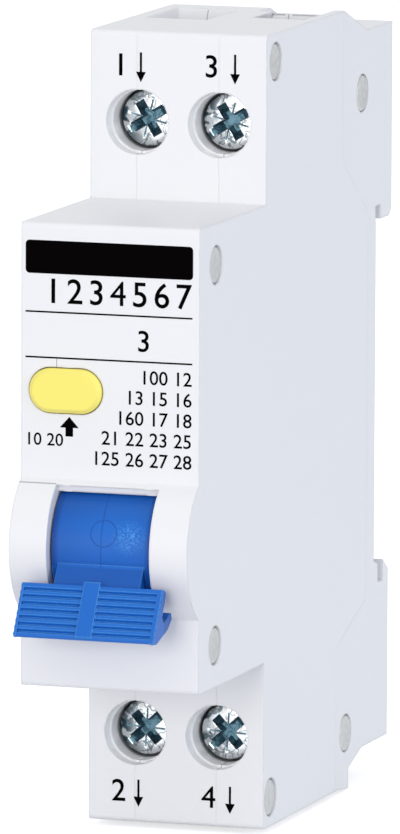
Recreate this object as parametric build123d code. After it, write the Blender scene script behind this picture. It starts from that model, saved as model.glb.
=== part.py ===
from build123d import *
import math
import os

# A one-module residual current circuit breaker with overload protection for a 35 mm rail.
# X runs across the module, -Y is the front and +Z is up. The origin is on the seat for the rail,
# midway across the module and midway up its nose. All lengths are millimetres.

# Driving dimensions of the housing
WIDTH = 18.0
NOSE_FRONT = -56.0
NOSE_HEIGHT = 45.0
TERMINAL_FACE = -35.8
BODY_HEIGHT = 78.0
SIDE_WALL = 1.1
RIM = 1.6
WEB = 1.2
PARTING = 4.2
EDGE_RADIUS = 0.5
WALL = 1.2
SEAM_WIDTH = 0.12
SEAM_DEPTH = 0.06
SIDE_RELIEF = 0.12

# Driving dimensions of the handle
PIVOT_Y = -52.3
PIVOT_Z = -8.8
BARREL_RADIUS = 6.3
BARREL_HALF = 5.0
NECK_HALF = 4.35
PADDLE_HALF = 7.1
BULGE_Y = -51.9
BULGE_Z = -8.7
BULGE_RADIUS = 7.67
WINDOW_HALF = 5.2
WINDOW_TOP = -2.7
WINDOW_BOTTOM = -15.2
LEDGE_DEPTH = 0.1
BARREL_GAP = 0.2
PIN_RADIUS = 1.0
FIT = 0.05

# Driving dimensions of the switching mechanism
CRANK_RADIUS = 3.0
CRANK_ANGLE = 49.24
CARRIER_Y = -36.2
CARRIER_Z = -3.0
LEVER_RADIUS = 6.6
LEVER_ANGLE = 200.15
CARRIER_SWING = 18.0
TRIP_Y = -37.6
TRIP_Z = 5.6
TRIP_PIN_RADIUS = 0.8
ROD_RADIUS = 0.6
ROD_PLANE = -6.0
LEVER_OUTER = -5.0
LEVER_INNER = -2.9
POLE_X = 4.25
FIXED_TOP = 2.55
FIXED_LOW = 1.35

# Driving dimensions of the terminals
TERMINAL_X = 4.2
TERMINAL_Z = 30.1
SCREW_HEAD_RADIUS = 2.85
SCREW_HEAD_FRONT = -32.3
SCREW_SEAT = -30.3
SHANK_RADIUS = 2.0
CAGE_FRONT = -23.4
CAGE_DEPTH = 9.2
CAGE_WIDTH = 6.6
CAGE_HEIGHT = 8.0
STRAP_FRONT = -21.6
STRAP_THICK = 1.2
STRAP_WIDTH = 4.6
STRAP_END = 35.9

# Driving dimensions of the current sensor and the rail clip
SENSOR_Y = -25.6
SENSOR_Z = -15.6
SENSOR_RADIUS = 6.9
SENSOR_HOLE = 3.3
SENSOR_NEAR = 2.2
SENSOR_FAR = 6.4
WIRE_RADIUS = 0.65
CLIP_HALF = 4.9
CLIP_FRONT = 1.1
CLIP_REAR = 2.9
CLIP_TOP = -16.3
CLIP_BOTTOM = -38.6
CLIP_GAP = 0.15
CLIP_SIDE_GAP = 0.2
CLIP_WINDOW_LOW = -27.0
CLIP_WINDOW_HIGH = -19.8
CLIP_SPRING_LOW = -25.6
CHANNEL_TOP = -17.0
CHANNEL_BOTTOM = -37.5
NOTCH_FRONT = -0.6
NOTCH_LOW = -18.2
NOTCH_HIGH = -15.9
PEG_HALF = 1.2

HALF = WIDTH / 2
INNER = HALF - SIDE_WALL
WEB_HALF = WEB / 2
PIN_END = HALF - 0.6
NOSE_TOP = NOSE_HEIGHT / 2
BODY_TOP = BODY_HEIGHT / 2
STRAP_REAR = STRAP_FRONT + STRAP_THICK
POLES = (-1, 1)

# Centres (y, z) of the six rivets that hold the three mouldings together
RIVETS = ((-32.9, 36.2), (-4.7, 30.15), (-51.0, 18.5), (-50.9, -18.4), (-9.1, -33.7), (-33.5, -36.1))
RIVET_RECESS_RADIUS = 1.93
RIVET_RECESS_DEPTH = 0.6
RIVET_HEAD_RADIUS = 1.8
RIVET_HEAD_THICK = 0.5
RIVET_RADIUS = 1.0
RIVET_BOSS = 2.3


def rect(y0, y1, z0, z1):
    """Rectangle of the side view between two depths and two heights."""
    return Pos((y0 + y1) / 2, (z0 + z1) / 2) * Rectangle(abs(y1 - y0), abs(z1 - z0))


def disc(y, z, radius):
    """Disc of the side view."""
    return Pos(y, z) * Circle(radius)


def octagon(y, z, radius):
    """Eight-sided disc of the side view; the radius is to its flats."""
    return Pos(y, z) * Rot(0, 0, 22.5) * RegularPolygon(radius, 8, major_radius=False)


def outline(*points):
    """Closed outline with straight sides through the given points."""
    return Polygon(*points, align=None)


def link(start, start_radius, end, end_radius):
    """Lever shape of the side view: two round ends and the tangents between them."""
    return make_hull(disc(*start, start_radius).edges() + disc(*end, end_radius).edges())


def across(shape, x0, x1):
    """Solid with a side-view shape as its section, from one width to another."""
    low, high = min(x0, x1), max(x0, x1)
    return extrude(Plane.YZ.offset(low) * shape, high - low, dir=(1, 0, 0))


def block(x0, x1, y0, y1, z0, z1):
    """Straight-sided solid between two widths, depths and heights."""
    return across(rect(y0, y1, z0, z1), x0, x1)


def upward(shape, z0, height):
    """Solid with a top-view shape as its section, from one height upward."""
    return extrude(Plane.XY.offset(z0) * shape, height, dir=(0, 0, 1))


def pin(y, z, radius, x0, x1):
    """Round rod that runs across the module."""
    return across(disc(y, z, radius), x0, x1)


def stud(y, z, radius, x0, x1):
    """Eight-sided rod that runs across the module."""
    return across(octagon(y, z, radius), x0, x1)


def ring(y, z, outer, inner, x0, x1):
    """Round sleeve that runs across the module."""
    return across(disc(y, z, outer) - disc(y, z, inner), x0, x1)


def turned(points, x, z):
    """Turned solid about a line that runs front to back; each point is (radius, y)."""
    return Pos(x, 0, z) * revolve(outline(*points), Axis.Y)


def rod_y(x, z, radius, y0, y1):
    """Round rod that runs front to back."""
    return turned(((0, y0), (radius, y0), (radius, y1), (0, y1)), x, z)


def rod_z(x, y, radius, z0, z1):
    """Round rod that runs upward."""
    return Pos(x, y, (z0 + z1) / 2) * Cylinder(radius, abs(z1 - z0))


def bent_wire(points, radius, bend):
    """Eight-sided wire along straight runs with one bend radius at every corner."""
    path = FilletPolyline(*points, radius=bend)
    section = Rot(0, 0, 22.5) * RegularPolygon(radius, 8, major_radius=False)
    return sweep(Plane(origin=path @ 0, z_dir=path % 0) * section, path=path)


def polar(centre, radius, degrees):
    """Point of the side view at a radius and an angle from a centre."""
    angle = math.radians(degrees)
    return (centre[0] + radius * math.cos(angle), centre[1] + radius * math.sin(angle))


# Housing

FOOT_TOP = 36.4
FOOT_REAR = 5.1
LOWER_FOOT_REAR = 4.7
FOOT_BOTTOM = -36.0
SEAT_TOP = 16.8
SEAT_BOTTOM = -17.7
HOOK_FRONT = 1.5
HOOK_LOW = SEAT_TOP + 0.05
HOOK_CHAMFER = 0.7
SLOT_FRONT = -0.15
SLOT_TOP = 18.3
CLIP_SLOT_REAR = 3.0
CLIP_SLOT_FRONT = 1.3
CLIP_SLOT_BOTTOM = -20.0
LOWER_FOOT_TOP = -17.9
LOWER_FOOT_SLOPE = 1.1
RIDGE_TOP = -37.4
REAR_SLOPE_START = -10.8
REAR_SLOPE_END = -3.1
FOOT_BOTTOM_FRONT = -3.7
RIDGE_REAR = -8.05
RIDGE_FRONT = -9.0
RIDGE_END = -11.9
RIDGE_DROP = 0.4


def housing_outline():
    """Outer side view of the module: nose, terminal faces, feet for the rail and handle bulge."""
    body = outline(
        (NOSE_FRONT, -NOSE_TOP), (NOSE_FRONT, NOSE_TOP), (TERMINAL_FACE, NOSE_TOP),
        (TERMINAL_FACE, BODY_TOP), (REAR_SLOPE_START, BODY_TOP), (REAR_SLOPE_END, FOOT_TOP - 0.1),
        (FOOT_REAR, FOOT_TOP), (FOOT_REAR, HOOK_LOW + HOOK_CHAMFER), (FOOT_REAR - HOOK_CHAMFER, HOOK_LOW),
        (HOOK_FRONT, HOOK_LOW), (HOOK_FRONT, SLOT_TOP), (SLOT_FRONT, SLOT_TOP), (SLOT_FRONT, SEAT_TOP),
        (0, SEAT_TOP), (0, SEAT_BOTTOM), (CLIP_SLOT_FRONT, SEAT_BOTTOM - 0.4),
        (CLIP_SLOT_FRONT, CLIP_SLOT_BOTTOM), (CLIP_SLOT_REAR, CLIP_SLOT_BOTTOM),
        (CLIP_SLOT_REAR, LOWER_FOOT_TOP), (LOWER_FOOT_REAR, LOWER_FOOT_TOP - LOWER_FOOT_SLOPE),
        (LOWER_FOOT_REAR, FOOT_BOTTOM), (FOOT_BOTTOM_FRONT, FOOT_BOTTOM),
        (RIDGE_REAR, RIDGE_TOP), (RIDGE_REAR, -BODY_TOP - RIDGE_DROP),
        (RIDGE_FRONT, -BODY_TOP - RIDGE_DROP), (RIDGE_END, -BODY_TOP),
        (TERMINAL_FACE, -BODY_TOP), (TERMINAL_FACE, -NOSE_TOP),
    )
    nose_corners = [vertex for vertex in body.vertices() if vertex.X == NOSE_FRONT]
    end_corners = [
        vertex for vertex in body.vertices()
        if vertex.X == TERMINAL_FACE and abs(vertex.Y) == BODY_TOP
    ]
    return fillet(nose_corners + end_corners, EDGE_RADIUS) + disc(BULGE_Y, BULGE_Z, BULGE_RADIUS)


def cavity_outline():
    """Side view of the hollow inside the outer rim."""
    front = NOSE_FRONT + RIM
    shoulder = TERMINAL_FACE + RIM
    nose = NOSE_TOP - RIM
    top = BODY_TOP - RIM
    foot_top = FOOT_TOP - RIM
    foot_rear = FOOT_REAR - RIM
    slot = SLOT_TOP + RIM
    foot_bottom = FOOT_BOTTOM + RIM
    return outline(
        (front, -nose), (front, nose), (shoulder, nose), (shoulder, top), (REAR_SLOPE_START, top),
        (REAR_SLOPE_END, foot_top), (foot_rear, foot_top), (foot_rear, slot), (-RIM, slot),
        (-RIM, foot_bottom), (FOOT_BOTTOM_FRONT, foot_bottom), (RIDGE_REAR, RIDGE_TOP + RIM),
        (RIDGE_END, -top), (shoulder, -top), (shoulder, -nose),
    )


LEDGE_REAR = -28.7
TOWER_LOW = 25.0
TOWER_HIGH = 35.2
FLOOR_LOW = 24.6
FLOOR_HIGH = 25.8
FUNNEL_LOW = 34.4
ENTRY_FRONT = -26.0
POCKET_REAR = -13.8
STRAP_GAP = 0.6


def terminal_ribs(side):
    """Walls round one terminal: screw tower, floor with a gap for the strap, back wall, entry block."""
    tower = rect(TERMINAL_FACE, LEDGE_REAR, side * TOWER_LOW, side * TOWER_HIGH)
    front_floor = rect(TERMINAL_FACE, STRAP_FRONT - STRAP_GAP, side * FLOOR_LOW, side * FLOOR_HIGH)
    rear_floor = rect(STRAP_REAR + STRAP_GAP, POCKET_REAR, side * FLOOR_LOW, side * FLOOR_HIGH)
    back_wall = rect(POCKET_REAR, POCKET_REAR + RIM, side * FLOOR_LOW, side * BODY_TOP)
    entry = rect(ENTRY_FRONT, POCKET_REAR, side * FUNNEL_LOW, side * (BODY_TOP - 1))
    return tower + front_floor + rear_floor + back_wall + entry


def common_ribs():
    """Walls that both halves of the hollow share."""
    ribs = terminal_ribs(1) + terminal_ribs(-1)
    for centre in RIVETS:
        ribs += octagon(*centre, RIVET_BOSS)
    return ribs


TRIP_MAGNET = {"front": -25.6, "rear": -12.4, "x": -4.6, "z": 12.0, "half": 3.1}
RESIDUAL_MAGNET = {"front": -34.8, "rear": -24.0, "x": 4.4, "z": 12.6, "half": 3.7}
PLATE = 0.8
PAD_HALF = 0.7


def magnet_ribs(magnet):
    """Pads above and below both end plates of an electromagnet."""
    pads = Sketch()
    for y in (magnet["front"] + PLATE / 2, magnet["rear"] - PLATE / 2):
        for side in (-1, 1):
            edge = magnet["z"] + side * magnet["half"]
            pads += rect(y - PAD_HALF, y + PAD_HALF, edge, edge + side * RIM)
    return pads


BUTTON_X = -4.45
BUTTON_Z = 6.35
BUTTON_LENGTH = 7.35
BUTTON_HEIGHT = 4.3
BUTTON_FRONT = -56.5
BUTTON_TRAVEL = 1.2
BUTTON_GAP = 0.1
FLANGE_FRONT = NOSE_FRONT + RIM
FLANGE_REAR = FLANGE_FRONT + 0.9
STEM_RADIUS = 0.9
SPRING_WALL_FRONT = -49.0
SPRING_WALL_REAR = SPRING_WALL_FRONT + WALL
SPRING_WALL_LOW = 3.0
LEAF_FRONT = -45.4
LEAF_THICK = 0.4
LEAF_TOP = 19.4
LEAF_BOTTOM = 4.6
LEAF_X = -4.4
LEAF_HALF = 1.8
LEAF_GRIP = 1.2
LINE_PAD_TOP = 7.5
PAD_TOP = 4.2
STRAP_HEEL = -18.4
CONTACT_FRONT = -25.5
CHUTE_FRONT = -16.5
CHUTE_REAR = -3.4
CHUTE_TOP = -6.6
CHUTE_BOTTOM = -20.0
ARC_PLATE_THICK = 0.8


def line_ribs():
    """Walls of the hollow for the line pole, on the left."""
    roof = NOSE_TOP - 1
    rear = -RIM + 0.1
    leaf_rear = LEAF_FRONT + LEAF_THICK
    spring_wall = rect(SPRING_WALL_FRONT, SPRING_WALL_REAR, SPRING_WALL_LOW, roof)
    leaf_post = rect(LEAF_FRONT - WALL, leaf_rear + WALL, LEAF_TOP - LEAF_GRIP, roof)
    chute_floor = rect(CHUTE_FRONT, rear, CHUTE_BOTTOM - WALL, CHUTE_BOTTOM)
    chute_stop = rect(CHUTE_REAR, rear, CHUTE_BOTTOM - WALL, CHUTE_TOP + WALL)
    contact_pads = rect(CONTACT_FRONT, CONTACT_FRONT + WALL, FIXED_TOP, LINE_PAD_TOP)
    contact_pads += rect(STRAP_HEEL - WALL, STRAP_HEEL + 0.2, FIXED_TOP, PAD_TOP)
    walls = spring_wall + leaf_post + chute_floor + chute_stop + contact_pads
    return common_ribs() + walls + magnet_ribs(TRIP_MAGNET)


def neutral_ribs():
    """Walls of the hollow for the neutral pole and the residual current parts, on the right."""
    contact_pad = rect(STRAP_REAR, STRAP_HEEL, FIXED_TOP, PAD_TOP)
    return common_ribs() + contact_pad + magnet_ribs(RESIDUAL_MAGNET)


def window_cutter():
    """Window for the handle, with a low ledge along its upper edge, and room for the barrel."""
    opening = rect(BULGE_Y - BULGE_RADIUS - 1, NOSE_FRONT + LEDGE_DEPTH, WINDOW_BOTTOM, WINDOW_TOP)
    opening += rect(NOSE_FRONT, PIVOT_Y + 2.3, WINDOW_BOTTOM, PIVOT_Z)
    opening += disc(PIVOT_Y, PIVOT_Z, BARREL_RADIUS + BARREL_GAP)
    return across(opening, -WINDOW_HALF, WINDOW_HALF)


def stadium(length, height, x, z, y0, y1):
    """Solid with a long round-ended front view."""
    shape = Plane.XZ.offset(-y1) * Pos(x, z) * SlotOverall(length, height)
    return extrude(shape, y1 - y0, dir=(0, -1, 0))


DRIVER_RADIUS = 3.2
COLLAR_RADIUS = 3.0
COLLAR_FRONT = -34.3
SHANK_HOLE_RADIUS = 2.2


def screw_hole(x, z):
    """Stepped hole for a driver, with a seat that the screw's head can't pass."""
    front, rear = TERMINAL_FACE - 1, LEDGE_REAR + 1
    return turned(
        ((0, front), (DRIVER_RADIUS, front), (DRIVER_RADIUS, COLLAR_FRONT),
         (COLLAR_RADIUS, COLLAR_FRONT), (COLLAR_RADIUS, SCREW_SEAT),
         (SHANK_HOLE_RADIUS, SCREW_SEAT), (SHANK_HOLE_RADIUS, rear), (0, rear)), x, z)


# Wire entries: the mouth in the end face as (left, right, front, rear) for each pole
THROAT_HALF = 2.6
THROAT_REAR = -15.2
THROAT_TOP = 36.2
LINE_MOUTH = (-7.4, -1.0, -24.0, -14.0)
NEUTRAL_MOUTH = (2.6, 7.9, -20.4, -14.0)
NOTCH_LEFT = 1.2
NOTCH_REAR = -8.0
NOTCH_DEPTH = 0.7


def top_rect(x0, x1, y0, y1):
    """Rectangle of the top view between two widths and two depths."""
    return Pos((x0 + x1) / 2, (y0 + y1) / 2) * Rectangle(x1 - x0, y1 - y0)


def wire_entry(x, mouth):
    """Tapered entry in the top face that ends above the cage."""
    throat_front = STRAP_REAR + 0.1
    throat = top_rect(x - THROAT_HALF, x + THROAT_HALF, throat_front, THROAT_REAR)
    lower, upper = Plane.XY.offset(THROAT_TOP), Plane.XY.offset(BODY_TOP + 0.01)
    funnel = loft([lower * throat, upper * top_rect(*mouth)])
    strap_half = STRAP_WIDTH / 2 + FIT
    strap_slot = block(x - strap_half, x + strap_half, STRAP_FRONT - FIT, throat_front + 0.1,
                       FUNNEL_LOW - 1, STRAP_END + FIT)
    return upward(throat, FUNNEL_LOW - 1, THROAT_TOP + 0.1 - FUNNEL_LOW + 1) + funnel + strap_slot


def rear_notch():
    """Lowered edge of the top face behind the neutral entry."""
    left, right, front, rear = NEUTRAL_MOUTH
    return block(NOTCH_LEFT, right, rear - 0.1, NOTCH_REAR, BODY_TOP - NOTCH_DEPTH, BODY_TOP + 1)


def clip_channel():
    """Channel behind the lower foot's front wall, notch in the seat for the hook, and a spring peg."""
    half = CLIP_HALF + CLIP_SIDE_GAP
    notch_half = half + 0.3
    front, rear = CLIP_FRONT - CLIP_GAP, CLIP_REAR + CLIP_GAP
    channel = block(-half, half, front, rear, CHANNEL_BOTTOM, CHANNEL_TOP)
    notch = block(-notch_half, notch_half, NOTCH_FRONT, CLIP_FRONT + 1, NOTCH_LOW, NOTCH_HIGH)
    peg = block(-PEG_HALF, PEG_HALF, front - 0.05, rear + 0.05, CLIP_WINDOW_LOW, CLIP_SPRING_LOW)
    return channel + notch - peg


def seam_cutters():
    """Fine upright grooves where the mouldings meet, on the terminal faces."""
    cutters = []
    for side in (-1, 1):
        face = rect(TERMINAL_FACE - 1, TERMINAL_FACE + SEAM_DEPTH, side * NOSE_TOP, side * (BODY_TOP + 1))
        for pole in POLES:
            x = pole * PARTING
            cutters.append(across(face, x - SEAM_WIDTH / 2, x + SEAM_WIDTH / 2))
    return cutters


RELIEF_UPPER = -11.3
RELIEF_MIDDLE = -3.0
RELIEF_LOWER = -12.6
RELIEF_REAR = FOOT_REAR + 1


def side_relief():
    """Shallow set-back of the rear of both outer faces, wider beside the feet."""
    rear = outline(
        (RELIEF_UPPER, BODY_TOP + 1), (RELIEF_UPPER, 24.0), (RELIEF_MIDDLE, 18.0), (RELIEF_MIDDLE, -21.0),
        (RELIEF_LOWER, -24.5), (RELIEF_LOWER, -BODY_TOP - 1), (RELIEF_REAR, -BODY_TOP - 1),
        (RELIEF_REAR, BODY_TOP + 1))
    cutters = []
    for side in POLES:
        cutters.append(across(rear, side * (HALF - SIDE_RELIEF), side * (HALF + 1)))
    return cutters


def shared_cutters():
    """Every hole and recess that crosses more than one moulding."""
    cutters = [window_cutter(), clip_channel(), rear_notch()]
    for pole, mouth in ((-1, LINE_MOUTH), (1, NEUTRAL_MOUTH)):
        entry = wire_entry(pole * TERMINAL_X, mouth)
        cutters.append(entry)
        cutters.append(mirror(entry, about=Plane.XY))
        for side in (-1, 1):
            cutters.append(screw_hole(pole * TERMINAL_X, side * TERMINAL_Z))
    for y, z in RIVETS:
        cutters.append(stud(y, z, RIVET_RADIUS + FIT, -HALF, HALF))
        for side in POLES:
            floor = side * (HALF - RIVET_RECESS_DEPTH)
            cutters.append(pin(y, z, RIVET_RECESS_RADIUS, floor, side * (HALF + 1)))
    key_length = BUTTON_LENGTH + 2 * BUTTON_GAP
    key_height = BUTTON_HEIGHT + 2 * BUTTON_GAP
    key_rear = FLANGE_REAR + BUTTON_TRAVEL + BUTTON_GAP
    cutters.append(stadium(key_length, key_height, BUTTON_X, BUTTON_Z, NOSE_FRONT - 1, key_rear))
    stem_hole = STEM_RADIUS + 2 * BUTTON_GAP
    cutters.append(rod_y(BUTTON_X, BUTTON_Z, stem_hole, SPRING_WALL_FRONT - 1, SPRING_WALL_REAR + 1))
    leaf_slot = LEAF_HALF + FIT
    cutters.append(block(LEAF_X - leaf_slot, LEAF_X + leaf_slot, LEAF_FRONT, LEAF_FRONT + LEAF_THICK,
                         LEAF_TOP - 2 * LEAF_GRIP, LEAF_TOP + 0.1))
    return cutters + seam_cutters() + side_relief()


def cut_all(body, cutters):
    """Body less each cutter in turn."""
    for cutter in cutters:
        body = body - cutter
    return body


PIVOTS = (
    (PIVOT_Y, PIVOT_Z, PIN_RADIUS, 2.4, INNER - 1.0),
    (CARRIER_Y, CARRIER_Z, PIN_RADIUS, 2.2, INNER - 0.8),
    (TRIP_Y, TRIP_Z, TRIP_PIN_RADIUS, 0, INNER),
)


def outer_shell(side, ribs):
    """One outer moulding: side plate, rim, ribs and bosses for the pivot pins."""
    shell = across(housing_outline(), side * PARTING, side * HALF)
    shell -= across(cavity_outline() - ribs, side * PARTING, side * INNER)
    for y, z, radius, boss_radius, boss_face in PIVOTS:
        if boss_radius:
            shell += pin(y, z, boss_radius, side * boss_face, side * INNER)
        shell -= pin(y, z, radius + FIT, 0, side * PIN_END)
    return shell


SENSOR_POST_RADIUS = 0.9
BOARD_POST_RADIUS = 1.0
CARRIER_PASSAGE = 3.0
TRIP_PASSAGE = 2.25
WIRE_PASSAGE = 0.95


def sensor_posts(x0, x1):
    """Two posts that hold the current sensor by its faces."""
    posts = []
    ring_middle = (SENSOR_RADIUS + SENSOR_HOLE) / 2 + 0.1
    for side in (-1, 1):
        posts.append(stud(SENSOR_Y + side * ring_middle, SENSOR_Z, SENSOR_POST_RADIUS, x0, x1))
    return posts


BOARD_X = 6.3
BOARD_THICK = 1.0
BOARD_FRONT = -53.8
BOARD_REAR = -40.4
BOARD_LOW = -0.5
BOARD_HIGH = 15.8
BOARD_POSTS = ((-52.0, 1.2), (-42.0, 1.2), (-47.0, 14.4))


def left_shell(cutters):
    """Outer moulding beside the line pole."""
    return cut_all(outer_shell(-1, line_ribs()), cutters)


def right_shell(cutters):
    """Outer moulding beside the neutral pole, with posts for the board and the sensor."""
    shell = outer_shell(1, neutral_ribs())
    for post in sensor_posts(SENSOR_FAR, INNER):
        shell += post
    for y, z in BOARD_POSTS:
        shell += stud(y, z, BOARD_POST_RADIUS, BOARD_X + BOARD_THICK, INNER)
    return cut_all(shell, cutters)


def middle_frame(cutters):
    """Middle moulding: rim and the web between the poles, open where parts pass through."""
    frame = across(housing_outline(), -PARTING, PARTING)
    frame -= across(cavity_outline() - line_ribs(), -PARTING, -WEB_HALF)
    frame -= across(cavity_outline() - neutral_ribs(), WEB_HALF, PARTING)
    for post in sensor_posts(WEB_HALF, SENSOR_NEAR):
        frame += post
    passages = octagon(CARRIER_Y, CARRIER_Z, CARRIER_PASSAGE) + octagon(TRIP_Y, TRIP_Z, TRIP_PASSAGE)
    passages += octagon(LINE_WIRE_Y, SENSOR_Z, WIRE_PASSAGE) + octagon(LINE_WIRE_Y, WIRE_LOW, WIRE_PASSAGE)
    frame -= across(passages, -WEB_HALF, WEB_HALF)
    return cut_all(frame, cutters)


def housing_rivets():
    """Six rivets with flat heads at both ends."""
    rivets = Part()
    for y, z in RIVETS:
        rivets += stud(y, z, RIVET_RADIUS, -HALF + RIVET_RECESS_DEPTH, HALF - RIVET_RECESS_DEPTH)
        for side in POLES:
            seat = HALF - RIVET_RECESS_DEPTH
            rivets += pin(y, z, RIVET_HEAD_RADIUS, side * seat, side * (seat + RIVET_HEAD_THICK))
    return rivets


# Rail clip

PULL_SLOT_Z = -37.2
CLIP_CORNER = 1.6
CLIP_BEVEL = 0.6


def rail_clip():
    """Sliding clip: hook with a slanted top, window for its spring and a pull tab with a slot."""
    side = outline(
        (CLIP_FRONT, CLIP_BOTTOM + CLIP_BEVEL), (CLIP_FRONT, CLIP_TOP - 0.5),
        (CLIP_FRONT + 0.3, CLIP_TOP), (CLIP_REAR, CLIP_TOP - CLIP_CORNER),
        (CLIP_REAR, CLIP_BOTTOM), (CLIP_FRONT + CLIP_BEVEL, CLIP_BOTTOM))
    clip = across(side, -CLIP_HALF, CLIP_HALF)
    clip -= block(-PEG_HALF - 0.55, PEG_HALF + 0.55, 0, CLIP_REAR + 1, CLIP_WINDOW_LOW, CLIP_WINDOW_HIGH)
    pull_slot = Plane.XZ * Pos(0, PULL_SLOT_Z) * SlotOverall(CLIP_HALF, PEG_HALF)
    clip -= extrude(pull_slot, CLIP_REAR + 1, both=True)
    for edge in POLES:
        tip = edge * CLIP_HALF
        corner = Plane.XZ * outline((tip, CLIP_BOTTOM), (tip, CLIP_BOTTOM + CLIP_CORNER),
                                    (tip - edge * CLIP_CORNER, CLIP_BOTTOM))
        clip -= extrude(corner, CLIP_REAR + 1, both=True)
    return clip


def clip_spring():
    """Compression spring between the fixed peg and the upper edge of the clip's window."""
    radius = 0.8
    return rod_z(0, (CLIP_FRONT + CLIP_REAR) / 2, radius, CLIP_SPRING_LOW, CLIP_WINDOW_HIGH)


# Handle

PADDLE_TOP = (-61.0, -11.5)
PADDLE_BOTTOM = (-63.8, -16.45)
NECK_START = (-57.5, -9.95)
NECK_REAR = (-55.0, -11.5)
SLOT_UPPER = (-59.95, -12.05)
SLOT_FLOOR = (-61.15, -14.2)
LIP_INNER = (-58.6, -14.05)
LIP_OUTER = (-58.2, -14.75)
RIDGES = 8
GROOVE_DEPTH = 0.35
GROOVE_SHARE = 0.36
SPINE_HALF = 0.82
SPINE_PROUD = 0.15
SPINE_OVER = 0.25
PADDLE_ROUND = 0.3
CRANK_FACE = -2.4


def paddle_outline():
    """Side view of the ribbed finger plate and the lip that turns up behind it."""
    plate = outline(
        PADDLE_TOP, PADDLE_BOTTOM, (-62.9, -16.6), (-59.5, -15.65), LIP_OUTER, LIP_INNER,
        (-59.6, -14.6), (-60.8, -14.85), SLOT_FLOOR, SLOT_UPPER)
    round_ends = [
        vertex for vertex in plate.vertices()
        if (vertex.X, vertex.Y) in (LIP_OUTER, LIP_INNER, PADDLE_TOP, PADDLE_BOTTOM, SLOT_UPPER)
    ]
    return fillet(round_ends, PADDLE_ROUND)


def neck_outline():
    """Side view of the neck that joins the barrel to the finger plate."""
    return outline(
        NECK_START, (NECK_START[0] - 1.0, NECK_START[1]), SLOT_UPPER, SLOT_FLOOR, (-60.8, -14.95),
        (-59.3, -15.1), (-57.3, -13.1), NECK_REAR)


def plate_point(down, out):
    """Point of the side view, by its way down the finger plate's face and its distance in front."""
    along = Vector(*PADDLE_BOTTOM) - Vector(*PADDLE_TOP)
    along = along.normalized()
    place = Vector(*PADDLE_TOP) + along * down + Vector(along.Y, -along.X) * out
    return (place.X, place.Y)


def paddle_grooves():
    """V-shaped grooves across the finger plate."""
    pitch = math.dist(PADDLE_TOP, PADDLE_BOTTOM) / RIDGES
    half = pitch * GROOVE_SHARE
    grooves = Sketch()
    for index in range(1, RIDGES):
        middle = index * pitch
        grooves += outline(plate_point(middle - half, 0.1), plate_point(middle, -GROOVE_DEPTH),
                           plate_point(middle + half, 0.1))
    return grooves


def paddle_spine():
    """Flat spine down the middle of the finger plate, a little proud of the ribs."""
    length = math.dist(PADDLE_TOP, PADDLE_BOTTOM) - PADDLE_ROUND
    shape = outline(
        plate_point(-SPINE_OVER, SPINE_PROUD), plate_point(length, SPINE_PROUD),
        plate_point(length, -GROOVE_DEPTH), plate_point(-SPINE_OVER, -GROOVE_DEPTH - 0.2))
    return across(shape, -SPINE_HALF, SPINE_HALF)


def handle():
    """Operating handle: barrel, neck, ribbed paddle with a spine, and a hole for the link rod."""
    barrel = pin(PIVOT_Y, PIVOT_Z, BARREL_RADIUS, -BARREL_HALF, BARREL_HALF)
    body = barrel + across(neck_outline(), -NECK_HALF, NECK_HALF)
    body += across(paddle_outline(), -PADDLE_HALF, PADDLE_HALF)
    grooves = paddle_grooves()
    for side in POLES:
        body -= across(grooves, side * SPINE_HALF, side * (PADDLE_HALF + 1))
    body += paddle_spine()
    back_flat = rect(PIVOT_Y + 4.9, PIVOT_Y + BARREL_RADIUS + 1, WINDOW_BOTTOM - 2, 0)
    body -= across(back_flat, -BARREL_HALF, BARREL_HALF)
    body -= pin(PIVOT_Y, PIVOT_Z, PIN_RADIUS + FIT, -BARREL_HALF, BARREL_HALF)
    crank = polar((PIVOT_Y, PIVOT_Z), CRANK_RADIUS, CRANK_ANGLE)
    body -= pin(*crank, ROD_RADIUS + 2 * FIT, -BARREL_HALF, CRANK_FACE)
    return body


def handle_pin():
    """Steel pin that the handle turns on."""
    return pin(PIVOT_Y, PIVOT_Z, PIN_RADIUS, -PIN_END, PIN_END)


def handle_spring():
    """Torsion spring round the handle's pin, beside the barrel."""
    radius = 1.95
    near, far = BARREL_HALF + 0.3, INNER - 1.1
    return ring(PIVOT_Y, PIVOT_Z, radius, PIN_RADIUS + 2 * FIT, near, far)


def link_rod():
    """U-shaped wire that joins the handle's crank to the contact carrier."""
    crank = polar((PIVOT_Y, PIVOT_Z), CRANK_RADIUS, CRANK_ANGLE)
    lever = polar((CARRIER_Y, CARRIER_Z), LEVER_RADIUS, LEVER_ANGLE)
    bend = 0.8
    return bent_wire(((CRANK_FACE - 0.2, *crank), (ROD_PLANE, *crank), (ROD_PLANE, *lever),
                      (LEVER_INNER, *lever)), ROD_RADIUS, bend)


# Contact carrier and moving contacts, drawn closed and then turned back to the open rest position

STRIP_BOTTOM = -1.1
STRIP_THICK = 1.0
STRIP_TOP = STRIP_BOTTOM + STRIP_THICK
STRIP_HALF = 1.8
STRIP_FRONT = -33.9
TIP_Y = -20.6
TIP_RADIUS = 1.4
TIP_THICK = 0.7
SHAFT_RADIUS = 2.6
SHAFT_HALF = 6.9
LEVER_END_RADIUS = 2.2
LEVER_HOLE = 1.25
POCKET_LEFT = 2.1
POCKET_RIGHT = 6.4
POCKET = ((-36.2, -3.4), (-35.0, 0.9), (-31.2, 0.9), (-30.0, 0.2), (-30.0, -3.3), (-34.0, -4.4))
CONTACT_SPRING_Y = -31.7
CONTACT_SPRING_RADIUS = 0.95
CONTACT_SPRING_LENGTH = 1.6


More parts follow.
